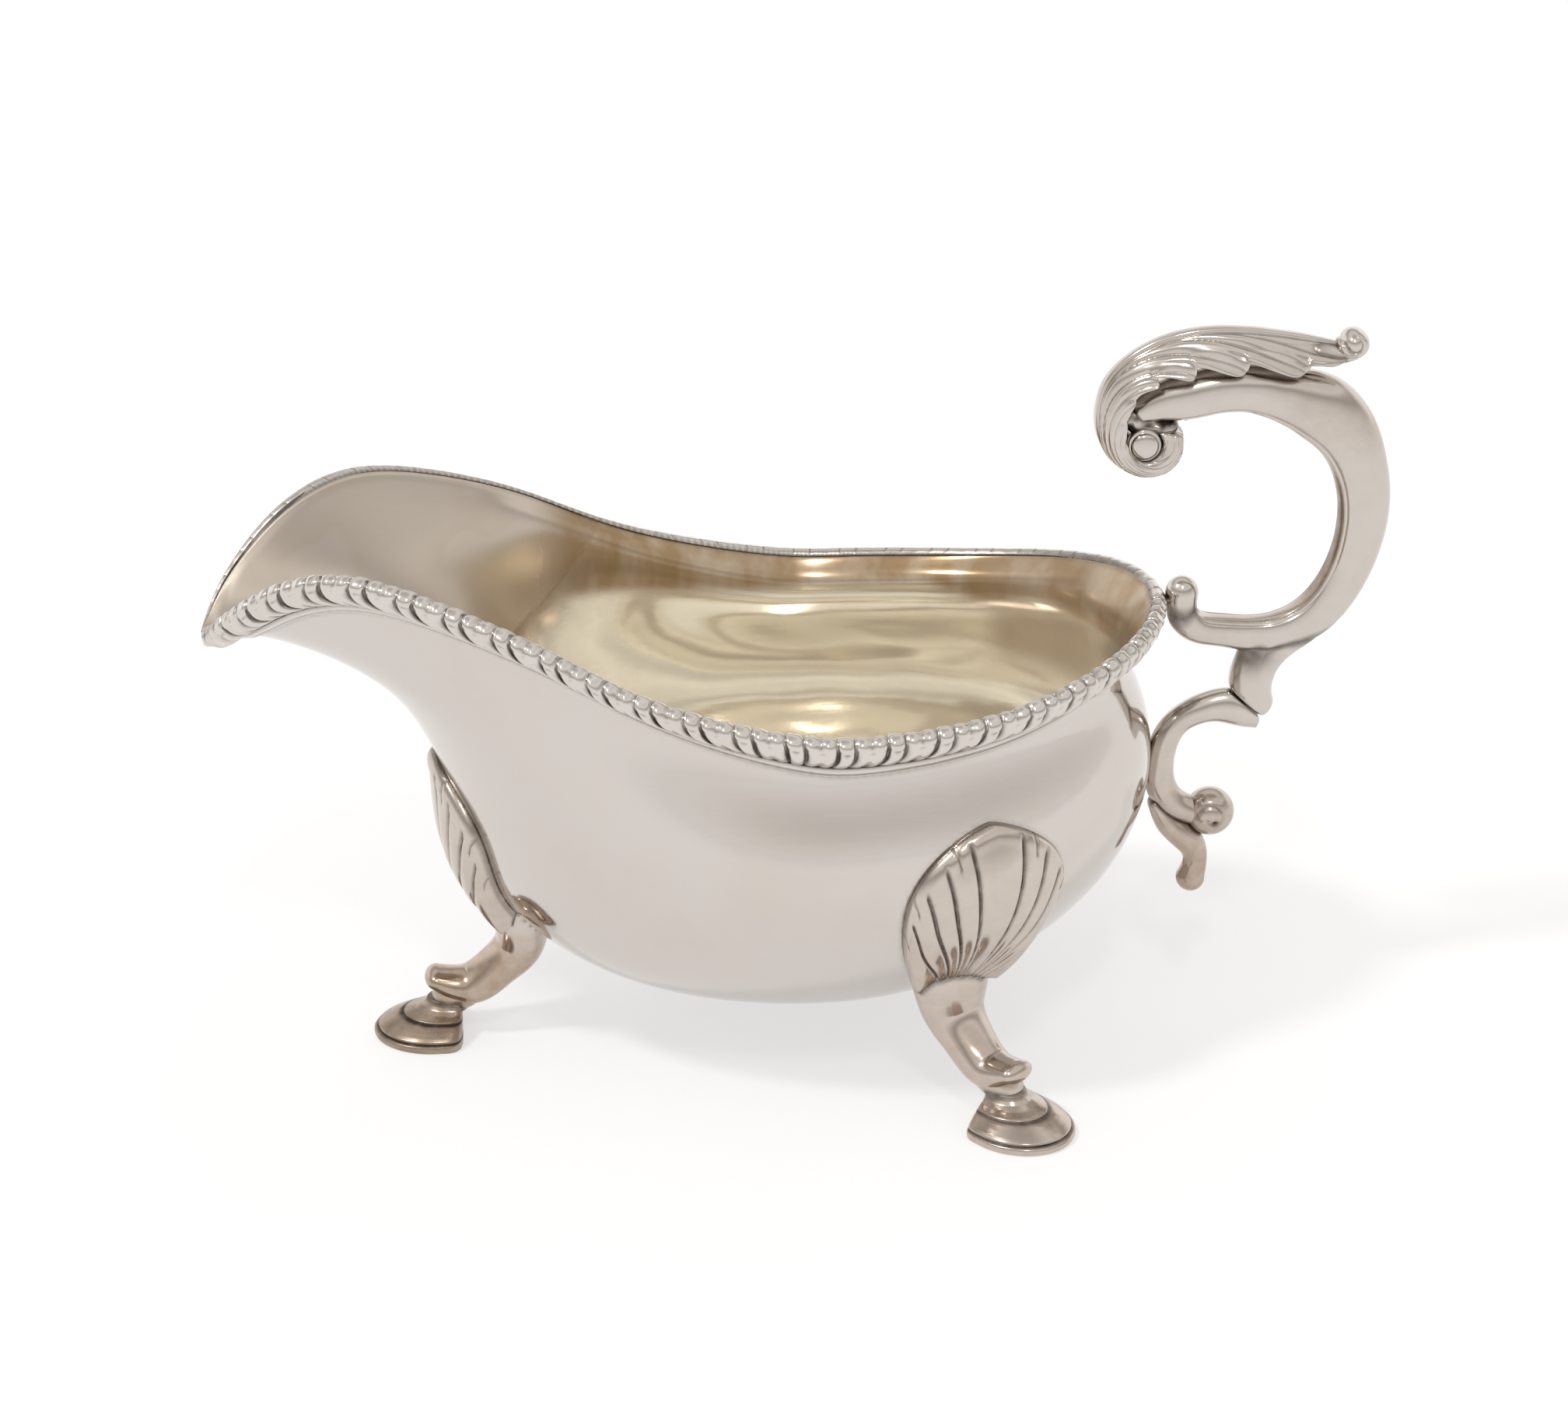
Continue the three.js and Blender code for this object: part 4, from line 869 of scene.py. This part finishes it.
def make_shell(angle):
    rays = np.linspace(-1, 1, 241)
    edge_w, edge_z = shell_outline(np.abs(rays))
    edge_w = (edge_w * np.sign(rays))[:, None]
    focus = SHELL_FOOT - 0.4 * SHELL_HEIGHT
    start = ((SHELL_FOOT - 1 - focus) / (edge_z - focus))[:, None]
    # r is the share of the way from the focus, where the grooves meet, to the outline
    r = start + (1 - start) * (1 - (1 - np.linspace(0, 1, 56)) ** 1.15)
    a, t = on_bowl(angle, edge_w * r, focus + (edge_z - focus)[:, None] * r)
    dome = np.maximum(1 - r**2.4, 0) ** 0.75 * mix(0.66, 1, smooth(2.2 * (r - 0.2)))
    # the grooves bend in towards the middle as they run down
    g = np.abs(rays)[:, None] / mix(0.62, 1, smooth((r - 0.22) / 0.55))
    line = np.zeros_like(r)
    for k, c in enumerate(SHELL_GROOVES):
        reach = smooth((0.99 - 0.012 * k - r) / 0.05) * smooth((r - 0.27) / 0.10)
        line = np.maximum(line, np.exp(-(((g - c) / 0.0095) ** 2)) * reach)
    pillow = np.zeros_like(r)
    bounds = (-SHELL_GROOVES[0],) + SHELL_GROOVES + (1.05,)
    for lo, hi in zip(bounds[:-1], bounds[1:]):
        f = np.clip((g - lo) / (hi - lo), 0, 1)
        pillow = np.where((g >= lo) & (g <= hi), 1 - np.abs(2 * f - 1) ** 2.2, pillow)
    pillow = (pillow - 0.6) * smooth((1 - r) / 0.25) * smooth((r - 0.3) / 0.22)
    # short cuts between the flutes at the rim of the shell
    nick = np.zeros_like(r)
    for c in SHELL_NICKS:
        cut = np.exp(-(((g - c - 0.10 * (0.97 - r)) / 0.007) ** 2))
        nick = np.maximum(nick, cut * smooth((r - 0.88) / 0.07))
    bead = 0.28 * np.exp(-(((r - 0.955) / 0.03) ** 2))
    off = GAP + 0.72 + SHELL_BULGE * dome
    off = off - 0.52 * line - 0.30 * nick + 0.34 * pillow + bead
    # the outer rim turns down to the bowl
    off = np.where(r > 0.985, off - 0.35 * smooth((r - 0.985) / 0.015), off)
    back = [skin(a[:, -1], t[:, -1], h) for h in (0.3, 0.02, -0.4)]
    inner = skin(a[:, ::-1][:, ::8], t[:, ::-1][:, ::8], -0.5)
    loop = np.concatenate([skin(a, t, off), np.stack(back, 1), inner], 1)
    piece = loft(loop)
    face = r.shape[1]
    dark = np.ones(loop.shape[:2])
    dark[:, :face] = np.clip(np.maximum(line**0.7, nick * 0.6), 0, 1)
    dark[:, :face] = np.maximum(dark[:, :face], smooth((r - 0.988) / 0.010) * 0.45)
    dark[:, face] = 0.35
    piece.values["dark"] = np.r_[dark.ravel(), 0.5, 0.5]
    # the shell's foot, where the grooves meet, is worn clean
    clean = np.zeros(loop.shape[:2])
    clean[:, :face] = smooth((0.56 - r) / 0.12)
    piece.values["clean"] = np.r_[clean.ravel(), 0, 0]
    return piece


SHANK = [
    (-18.8, 26, 4.6, 8.4), (-18.3, 21, 4.7, 7.5), (-17.6, 16.4, 4.2, 5.9), (-13.9, 12.1, 3.6, 4.7),
    (-9.2, 8.9, 3.4, 4.2), (-3.4, 10.3, 1.9, 3.4),
]
ANKLE = [(-10, 8.9, 2.7, 3.7), (-7.6, 7.8, 3.4, 3.5), (-6, 6.9, 3.3, 3.2), (-5.9, 4.5, 3.2, 3.1)]
# Outline of the stepped foot: height, and length and width, as shares
FOOT = np.array(
    [
        (0, 0.97), (0.03, 0.99), (0.10, 1.0), (0.17, 1.0), (0.22, 0.985), (0.245, 0.945), (0.265, 0.935),
        (0.29, 0.95), (0.33, 0.945), (0.40, 0.90), (0.50, 0.82), (0.58, 0.75), (0.63, 0.70), (0.645, 0.665),
        (0.66, 0.655), (0.69, 0.66), (0.73, 0.62), (0.80, 0.53), (0.90, 0.45), (1.0, 0.41), (1.12, 0.39),
    ]
)


def make_foot(place):
    g = np.arange(112) * 2 * PI / 112
    c, s = np.cos(g), np.sin(g)
    power = np.where(c > 0, 2, 4.2)
    heel = 0.32 * FOOT_LENGTH
    u = np.where(c > 0, FOOT_LENGTH - heel, heel) * np.sign(c) * np.abs(c) ** (2 / power)
    w = FOOT_WIDTH / 2 * np.sign(s) * np.abs(s) ** (2 / power)
    rows = []
    for high in np.linspace(0, 1.12, 90):
        share = np.interp(high, *FOOT.T)
        wide = share - 0.05 * smooth(high) if high > 0.3 else share
        rows.append(place((u + heel) * share - 0.51 * FOOT_LENGTH, w * wide, high * FOOT_HEIGHT + 0 * u))
    piece = loft(rows)
    # dirt in the grooves between the steps and under the ankle
    high = piece.p[:, 2] / FOOT_HEIGHT
    dark = np.exp(-(((high - 0.26) / 0.035) ** 2)) + 0.9 * np.exp(-(((high - 0.65) / 0.04) ** 2))
    piece.values["dark"] = np.clip(dark + 0.5 * smooth((high - 0.98) / 0.1), 0, 1)
    return piece


def end_in_wall(piece, angle, depth=0.6):
    """Move what lies deeper in the bowl than the middle of its wall back out, straight along the leg."""
    out, across = leg_axes(angle)
    p = piece.p - [LEG_CENTRE_X, 0, 0]
    q = lookup(SURFACE, *on_bowl(angle, p @ across, p[:, 2])) - [LEG_CENTRE_X, 0, 0]
    found = (np.abs((q - p) @ across) < 0.1) & (np.abs(q[:, 2] - p[:, 2]) < 0.1)
    short = np.where(found, (q - p) @ out - depth, 0)
    piece.p = piece.p + out * np.maximum(short, 0)[:, None]
    return piece


def make_leg(name, angle, standoff):
    knee = lookup(SURFACE, *on_bowl(angle, 0.0, SHELL_FOOT + 0.05 * SHELL_HEIGHT))
    place = leg_place(angle, float(np.hypot(knee[0] - LEG_CENTRE_X, knee[1])) + standoff)
    shank = end_in_wall(sweep(SHANK, place, 130, 56, (False, True)), angle)
    ankle = sweep(ANKLE, place, 40, 48, (False, False))
    return {
        f"leg_{name}_shell": make_shell(angle),
        f"leg_{name}_shank": join(shank, ankle),
        f"leg_{name}_foot": make_foot(place),
    }


PIECES["bowl"] = make_bowl()
PIECES["gadroon_left"] = make_gadroon(-1)
PIECES["gadroon_right"] = make_gadroon(1)
PIECES["rim_reed"] = make_reed()
PIECES.update(make_handle())
PIECES.update(make_leg("front", PI, FRONT_STANDOFF))
PIECES.update(make_leg("back_left", math.radians(-BACK_LEG_ANGLE), BACK_STANDOFF))
PIECES.update(make_leg("back_right", math.radians(BACK_LEG_ANGLE), BACK_STANDOFF))

# castings are a little uneven
for name, piece in PIECES.items():
    if name.startswith(("handle", "leg")) and not name.endswith(("foot", "shell")):
        uneven = 0.05 * ripple(piece.p, 9, 41) + 0.02 * ripple(piece.p, 4, 42)
        piece.p = piece.p + piece.normals() * uneven[:, None]

# Dirt in hollows, and dirt and painted shade at joints and in some other places


JOINT_REACH = 0.8  # how far from another piece the dirt and painted shade of a joint reach
HOLLOW_DEPTH = 0.06
HOLLOW_ROUNDS = {"bowl": 0, "rim_reed": 3, "handle_main_scroll": 0}


def joint_dirt_and_shade():
    """Per point, how close it lies to another piece: 1 in the joint, 0 from its reach on."""
    trees = {}
    for name, piece in PIECES.items():
        trees[name] = KDTree(len(piece.p))
        for i, co in enumerate(piece.p):
            trees[name].insert(co, i)
        trees[name].balance()
    for name, piece in PIECES.items():
        near = np.full(len(piece.p), 9.0)
        for other, q in PIECES.items():
            if other != name:
                lo, hi = q.p.min(0) - JOINT_REACH, q.p.max(0) + JOINT_REACH
                for i in np.nonzero(((piece.p > lo) & (piece.p < hi)).all(1))[0]:
                    near[i] = min(near[i], trees[other].find(piece.p[i])[2])
        piece.values["joint"] = smooth(1 - near / JOINT_REACH)
    # on the bowl the darkening next to other pieces is weak: a soft painted shade
    PIECES["bowl"].values["joint"] *= 0.35


joint_dirt_and_shade()
for name, piece in PIECES.items():
    values = piece.values
    rounds = HOLLOW_ROUNDS.get(name, 12)
    if rounds:
        values["hollow"] = np.clip(piece.hollow(rounds) / HOLLOW_DEPTH, 0, 1)
    height = piece.p[:, 2]
    if name.startswith("leg"):
        # tarnish, warmer towards the floor; the front leg's larger amount is also painted shade, as it stands
        # in shadow
        tarnish_and_shade = 1.4 if "front" in name else 0.62
        values["warm"] = tarnish_and_shade * smooth((26 - height) / 16) + 0.15 * (height > 20)
    if name.endswith("shell"):
        values["hollow"] *= 1 - 0.9 * values["clean"]
        values["warm"] = values["warm"] + 0.2
    # painted shade on the front foot, which stands in shadow
    if name == "leg_front_foot":
        values["dark"] = values["dark"] + (0.27 + 0.06 * ripple(piece.p, 3, 31))
    if name.startswith("handle"):
        values["dark"] = piece.value("dark") + 0.07
    if name in ("handle_leaf", "handle_front_volute"):
        # the ring round the eye is darkened only below and to its right: painted shade on its side away from
        # the light
        d = piece.p - in_handle(EYE[0], 0, EYE[1])
        side = np.cos(np.arctan2(d[:, 2], d[:, 0]) + math.radians(40))
        close = np.hypot(d[:, 0], d[:, 2]) < 4.2
        shaded_side_mask = np.where(close, smooth(0.35 + side), 0.55)
        for key in ("joint", "hollow"):
            values[key] = values[key] * shaded_side_mask
    elif name in ("handle_lower_scroll", "handle_spur"):
        values["warm"] = smooth((52 - height) / 26)

# Finishes


def grey(v):
    return (v, v, v, 1)


class Graph:
    """Node tree with short calls: a value is set on an input, and an output is linked to it."""

    def __init__(self, tree):
        self.nodes, self.links = tree.nodes, tree.links
        self.nodes.clear()

    def put(self, socket, value):
        if isinstance(value, bpy.types.NodeSocket):
            self.links.new(value, socket)
        else:
            socket.default_value = value

    def fill(self, node, inputs):
        for key, value in inputs.items():
            self.put(node.inputs[key], value)

    def node(self, kind, inputs, **settings):
        n = self.nodes.new("ShaderNode" + kind)
        for key, value in settings.items():
            setattr(n, key, value)
        self.fill(n, inputs)
        return n

    def maths(self, op, a, b, clamp=False):
        return self.node("Math", {0: a, 1: b}, operation=op, use_clamp=clamp).outputs[0]

    def times(self, a, b, clamp=False):
        return self.maths("MULTIPLY", a, b, clamp)

    def plus(self, a, b, clamp=False):
        return self.maths("ADD", a, b, clamp)

    def attribute(self, name):
        return self.node("Attribute", {}, attribute_name=name).outputs["Fac"]

    def axes(self, space):
        coord = self.node("TexCoord", {}).outputs[space]
        return self.node("SeparateXYZ", {0: coord}).outputs

    def ramp(self, source, stops):
        """Colours at positions of the source; a number is a grey."""
        r = self.node("ValToRGB", {0: source})
        elements = r.color_ramp.elements
        stops = [(at, c if isinstance(c, tuple) else grey(c)) for at, c in stops]
        elements[0].position, elements[0].color = stops[0]
        elements[1].position, elements[1].color = stops[-1]
        for at, colour in stops[1:-1]:
            elements.new(at).color = colour
        return r.outputs["Color"]

    def noise(self, scale, detail, rough=0.5, seed=0.0, stretch=(1.0, 1.0, 1.0)):
        coord = self.node("TexCoord", {}).outputs["Object"]
        start = (seed, seed * 1.7, -seed * 0.6)
        place = self.node("Mapping", {"Vector": coord, "Location": start, "Scale": stretch}).outputs["Vector"]
        values = {"Vector": place, "Scale": scale, "Detail": detail, "Roughness": rough}
        return self.node("TexNoise", values).outputs["Fac"]

    def blend(self, a, b, factor):
        """Mix of two colours."""
        m = self.node("Mix", {}, data_type="RGBA")
        for key, kind, value in (("A", "RGBA", a), ("B", "RGBA", b), ("Factor", "VALUE", factor)):
            self.put(next(s for s in m.inputs if s.name == key and s.type == kind), value)
        return next(s for s in m.outputs if s.type == "RGBA")


def new_material(name):
    """Material, its graph and its surface node."""
    m = bpy.data.materials.new(name)
    m.use_nodes = True
    g = Graph(m.node_tree)
    surface = g.node("BsdfPrincipled", {})
    g.node("OutputMaterial", {"Surface": surface.outputs[0]})
    return m, g, surface


# The inside: bare silver in the spout, the gilding, and the brown film. The gilding's edge is where
# x - GILT_SLOPE z has a fixed value; GILT_START places it at half of a scale of 10 mm.
INSIDE = (0.62, 0.55, 0.475, 1), (0.94, 0.895, 0.79, 1), (0.33, 0.222, 0.12, 1)
GILT_SLOPE = 0.93
GILT_START = (105.7 - SHIFT) / 10 + 0.25
# colour of the oxide in the hollows, also used for painted shade
OXIDE_AND_SHADE = (0.055, 0.043, 0.034, 1)
HAIRLINE_STRENGTH, HAIRLINE_DEPTH = 0.4, 0.00002


def metal(name, base, warm, roughness, seed, haze=0.05, inside=()):
    """Polished metal with tarnish, dirt and oxide in its hollows, painted shade where the dark values carry
    it, and a fine hairline polish.
    """
    m, g, surface = new_material(name)
    metallic = 1.0
    # colour: clean metal, patches of warm tarnish (on the front leg also painted shade), dark oxide in the
    # hollows and painted shade
    patch = g.ramp(g.noise(46, 4, 0.55, seed), [(0.42, 0), (0.72, 1)])
    fine = g.noise(420, 3, 0.6, seed + 3)
    amount = g.plus(g.times(patch, 0.30), g.times(g.attribute("warm"), 0.85), True)
    amount = g.times(amount, g.plus(fine, 0.35), True)
    # sheen: soft haze, hairlines, dull hollows
    rough = g.plus(g.times(g.noise(70, 5, 0.6, seed + 7), haze), roughness - 0.5 * haze)
    if inside:
        inner = g.attribute("inner")
        # the gilding starts along a slanting line across the spout's root, brown along its edge
        axes = g.axes("Object")
        slant = g.maths("SUBTRACT", axes["X"], g.times(axes["Z"], GILT_SLOPE))
        slant = g.plus(g.times(slant, 100.0), GILT_START)
        slant = g.plus(slant, g.times(g.noise(60, 3, 0.5, seed + 4), 0.5))
        gilt = g.times(g.ramp(slant, [(0.44, 0), (0.54, 1)]), inner)
        edge = g.times(g.ramp(slant, [(0.42, 0), (0.48, 0.9), (0.60, 0.8), (0.95, 0)]), inner)
        runs = g.ramp(g.noise(120, 4, 0.6, seed + 6, (1.0, 1.0, 0.22)), [(0.36, 0.78), (0.56, 1)])
        brown = g.times(g.maths("MAXIMUM", edge, g.attribute("film")), runs)
        for layer, tone in zip((inner, gilt, brown), inside):
            base = g.blend(base, tone, layer)
        # water stains leave thin outlines in the spout
        stain = g.ramp(g.noise(34, 2.5, 0.5, seed + 5), [(0.475, 0), (0.49, 1), (0.55, 0)])
        plain = g.maths("SUBTRACT", inner, gilt, True)
        base = g.blend(base, warm, g.times(stain, g.times(plain, 0.8)))
        # the film is a thin matt layer, and the inside is duller than the polished outside
        film = g.times(brown, 0.30)
        metallic = g.maths("SUBTRACT", 1.0, g.plus(film, g.times(gilt, 0.20)))
        rough = g.plus(rough, g.plus(g.times(plain, 0.16), g.times(film, 0.35)))
    # the dark values: oxide and dirt, and painted shade at joints, under the scroll, round the eye, in the
    # knob's holes and on the front foot
    dark = g.maths("MAXIMUM", g.times(g.attribute("hollow"), 0.8), g.attribute("dark"))
    dark = g.maths("MAXIMUM", dark, g.times(g.attribute("joint"), 0.8))
    dark = g.times(dark, g.plus(g.times(fine, 0.9), 0.45), True)
    rough = g.plus(rough, g.times(dark, 0.35))
    rough = g.plus(rough, g.times(amount, 0.06), True)
    hair = g.noise(900, 2, 0.5, seed + 9, (0.06, 1.0, 1.0))
    bump = g.node("Bump", {"Strength": HAIRLINE_STRENGTH, "Distance": HAIRLINE_DEPTH, "Height": hair})
    colour = g.blend(g.blend(base, warm, amount), OXIDE_AND_SHADE, dark)
    inputs = {"Base Color": colour, "Metallic": metallic, "Roughness": rough, "Normal": bump.outputs[0]}
    g.fill(surface, inputs)
    return m


SILVER = metal("silver", (0.63, 0.59, 0.56, 1), (0.60, 0.52, 0.44, 1), 0.09, 1.0, inside=INSIDE)
BORDER = metal("border_silver", (0.66, 0.625, 0.59, 1), (0.58, 0.49, 0.41, 1), 0.13, 2.0)
CAST = metal("cast_silver", (0.64, 0.59, 0.55, 1), (0.42, 0.32, 0.24, 1), 0.14, 4.0, haze=0.08)

# Objects

SLOTS = {"bowl": "bowl_silver", "gadroon": "border_silver", "rim": "border_silver"}
FINISH = {"bowl_silver": SILVER, "border_silver": BORDER, "cast_silver": CAST}
for name, piece in PIECES.items():
    mesh = bpy.data.meshes.new(name + "_mesh")
    points = (piece.p + [SHIFT, 0, 0]) * MM
    mesh.from_pydata(points.tolist(), [], piece.f)
    mesh.polygons.foreach_set("use_smooth", [True] * len(mesh.polygons))
    for key in ("dark", "hollow", "joint", "warm") + (("inner", "film") if name == "bowl" else ()):
        layer = mesh.attributes.new(key, "FLOAT", "POINT")
        layer.data.foreach_set("value", piece.value(key).astype(np.float32))
    obj = bpy.data.objects.new("silver_" + name, mesh)
    bpy.context.scene.collection.objects.link(obj)
    slot = next((s for start, s in SLOTS.items() if name.startswith(start)), "cast_silver")
    mesh.materials.append(FINISH[slot])
    mesh.update()
    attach(obj, "root")
    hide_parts(name)

# Floor, light, camera

bpy.ops.mesh.primitive_plane_add(size=24, location=(0, 0, 0))
floor = bpy.context.object
floor.name = "floor"
paper, g, surface = new_material("floor_paper")
grain = g.ramp(g.noise(8, 3), [(0.3, 0.45), (0.7, 0.47)])
# the paper ends in front of the object; the table there is a little darker
table = g.ramp(g.times(g.axes("Object")["Y"], -1.0), [(0.20, 0), (0.50, 1)])
# the floor glows as well as taking light, a painted light that keeps the shadows on it light; over the table
# it glows a little less
glow = g.blend(grey(1), grey(0.90), table)
inputs = {"Base Color": g.blend(grain, grey(0.40), table), "Emission Color": glow, "Emission Strength": 0.52}
g.fill(surface, inputs)
g.fill(surface, {"Roughness": 0.9, "Specular IOR Level": 0.1})
floor.data.materials.append(paper)

# The room by height: bright near the floor, a darker band, a wide soft ceiling light, a dim zenith
ROOM = [
    (0.00, 0.95), (0.12, 0.84), (0.25, 0.68), (0.38, 0.47), (0.48, 0.68), (0.58, 0.97), (0.70, 0.88),
    (0.80, 0.84), (0.89, 1.0), (0.96, 0.72), (1.00, 0.60),
]
BACKDROP = (1.22, 1.21, 1.19, 1)
BACK_WALL = (0.52, 0.50, 0.46, 1)
world = bpy.data.worlds.new("studio")
bpy.context.scene.world = world
world.use_nodes = True
g = Graph(world.node_tree)
axes = g.axes("Generated")
sky = g.ramp(axes["Z"], [(z, (v, 0.975 * v, 0.94 * v, 1)) for z, v in ROOM])
# white paper curves up behind the object, and above it the wall is darker
behind = g.ramp(axes["Y"], [(0.1, 0), (0.45, 1)])
sky = g.blend(sky, BACKDROP, g.times(behind, g.ramp(axes["Z"], [(0.36, 1), (0.52, 0)])))
wall = g.ramp(axes["Z"], [(0.50, 0), (0.54, 1), (0.62, 1), (0.72, 0)])
sky = g.blend(sky, BACK_WALL, g.times(behind, wall))
background = g.node("Background", {"Color": sky, "Strength": 1.0})
g.node("OutputWorld", {"Surface": background.outputs[0]})


def direction(azimuth, elevation):
    """Direction from the object; azimuth 0 looks towards the front, positive to the handle's side."""
    a, e = math.radians(azimuth), math.radians(elevation)
    return Vector((math.sin(a) * math.cos(e), -math.cos(a) * math.cos(e), math.sin(e)))


def light(name, kind, colour, energy):
    obj = bpy.data.objects.new(name, bpy.data.lights.new(name, kind))
    obj.data.color, obj.data.energy = colour, energy
    bpy.context.scene.collection.objects.link(obj)
    return obj


key = light("key", "SUN", (1.0, 0.985, 0.96), 0.95)
key.data.angle = math.radians(8)
key.rotation_euler = direction(-66, 55).to_track_quat("Z", "Y").to_euler()
front = light("front", "AREA", (1.0, 0.985, 0.95), 6.2)
front.data.shape = "RECTANGLE"
front.data.size, front.data.size_y = 0.15, 0.34
front.location = direction(-1, 54) * 2.4
front.rotation_euler = (Vector((0, 0, 0.05)) - front.location).to_track_quat("-Z", "Y").to_euler()

# The camera as fitted to the photograph
FOCAL_PIXELS, PHOTO_WIDTH = 6000, 2016
TARGET = Vector((-0.0024, 0, 0.0572))
DISTANCE = 0.7792
back = direction(-5, 25)
camera = bpy.data.objects.new("camera", bpy.data.cameras.new("camera"))
camera.data.sensor_width = 36
camera.data.lens = FOCAL_PIXELS * 36 / PHOTO_WIDTH
camera.location = TARGET + back * DISTANCE
camera.rotation_euler = (-back).to_track_quat("-Z", "Y").to_euler()
bpy.context.scene.collection.objects.link(camera)
bpy.context.scene.camera = camera
bpy.context.scene.view_settings.view_transform = "Standard"
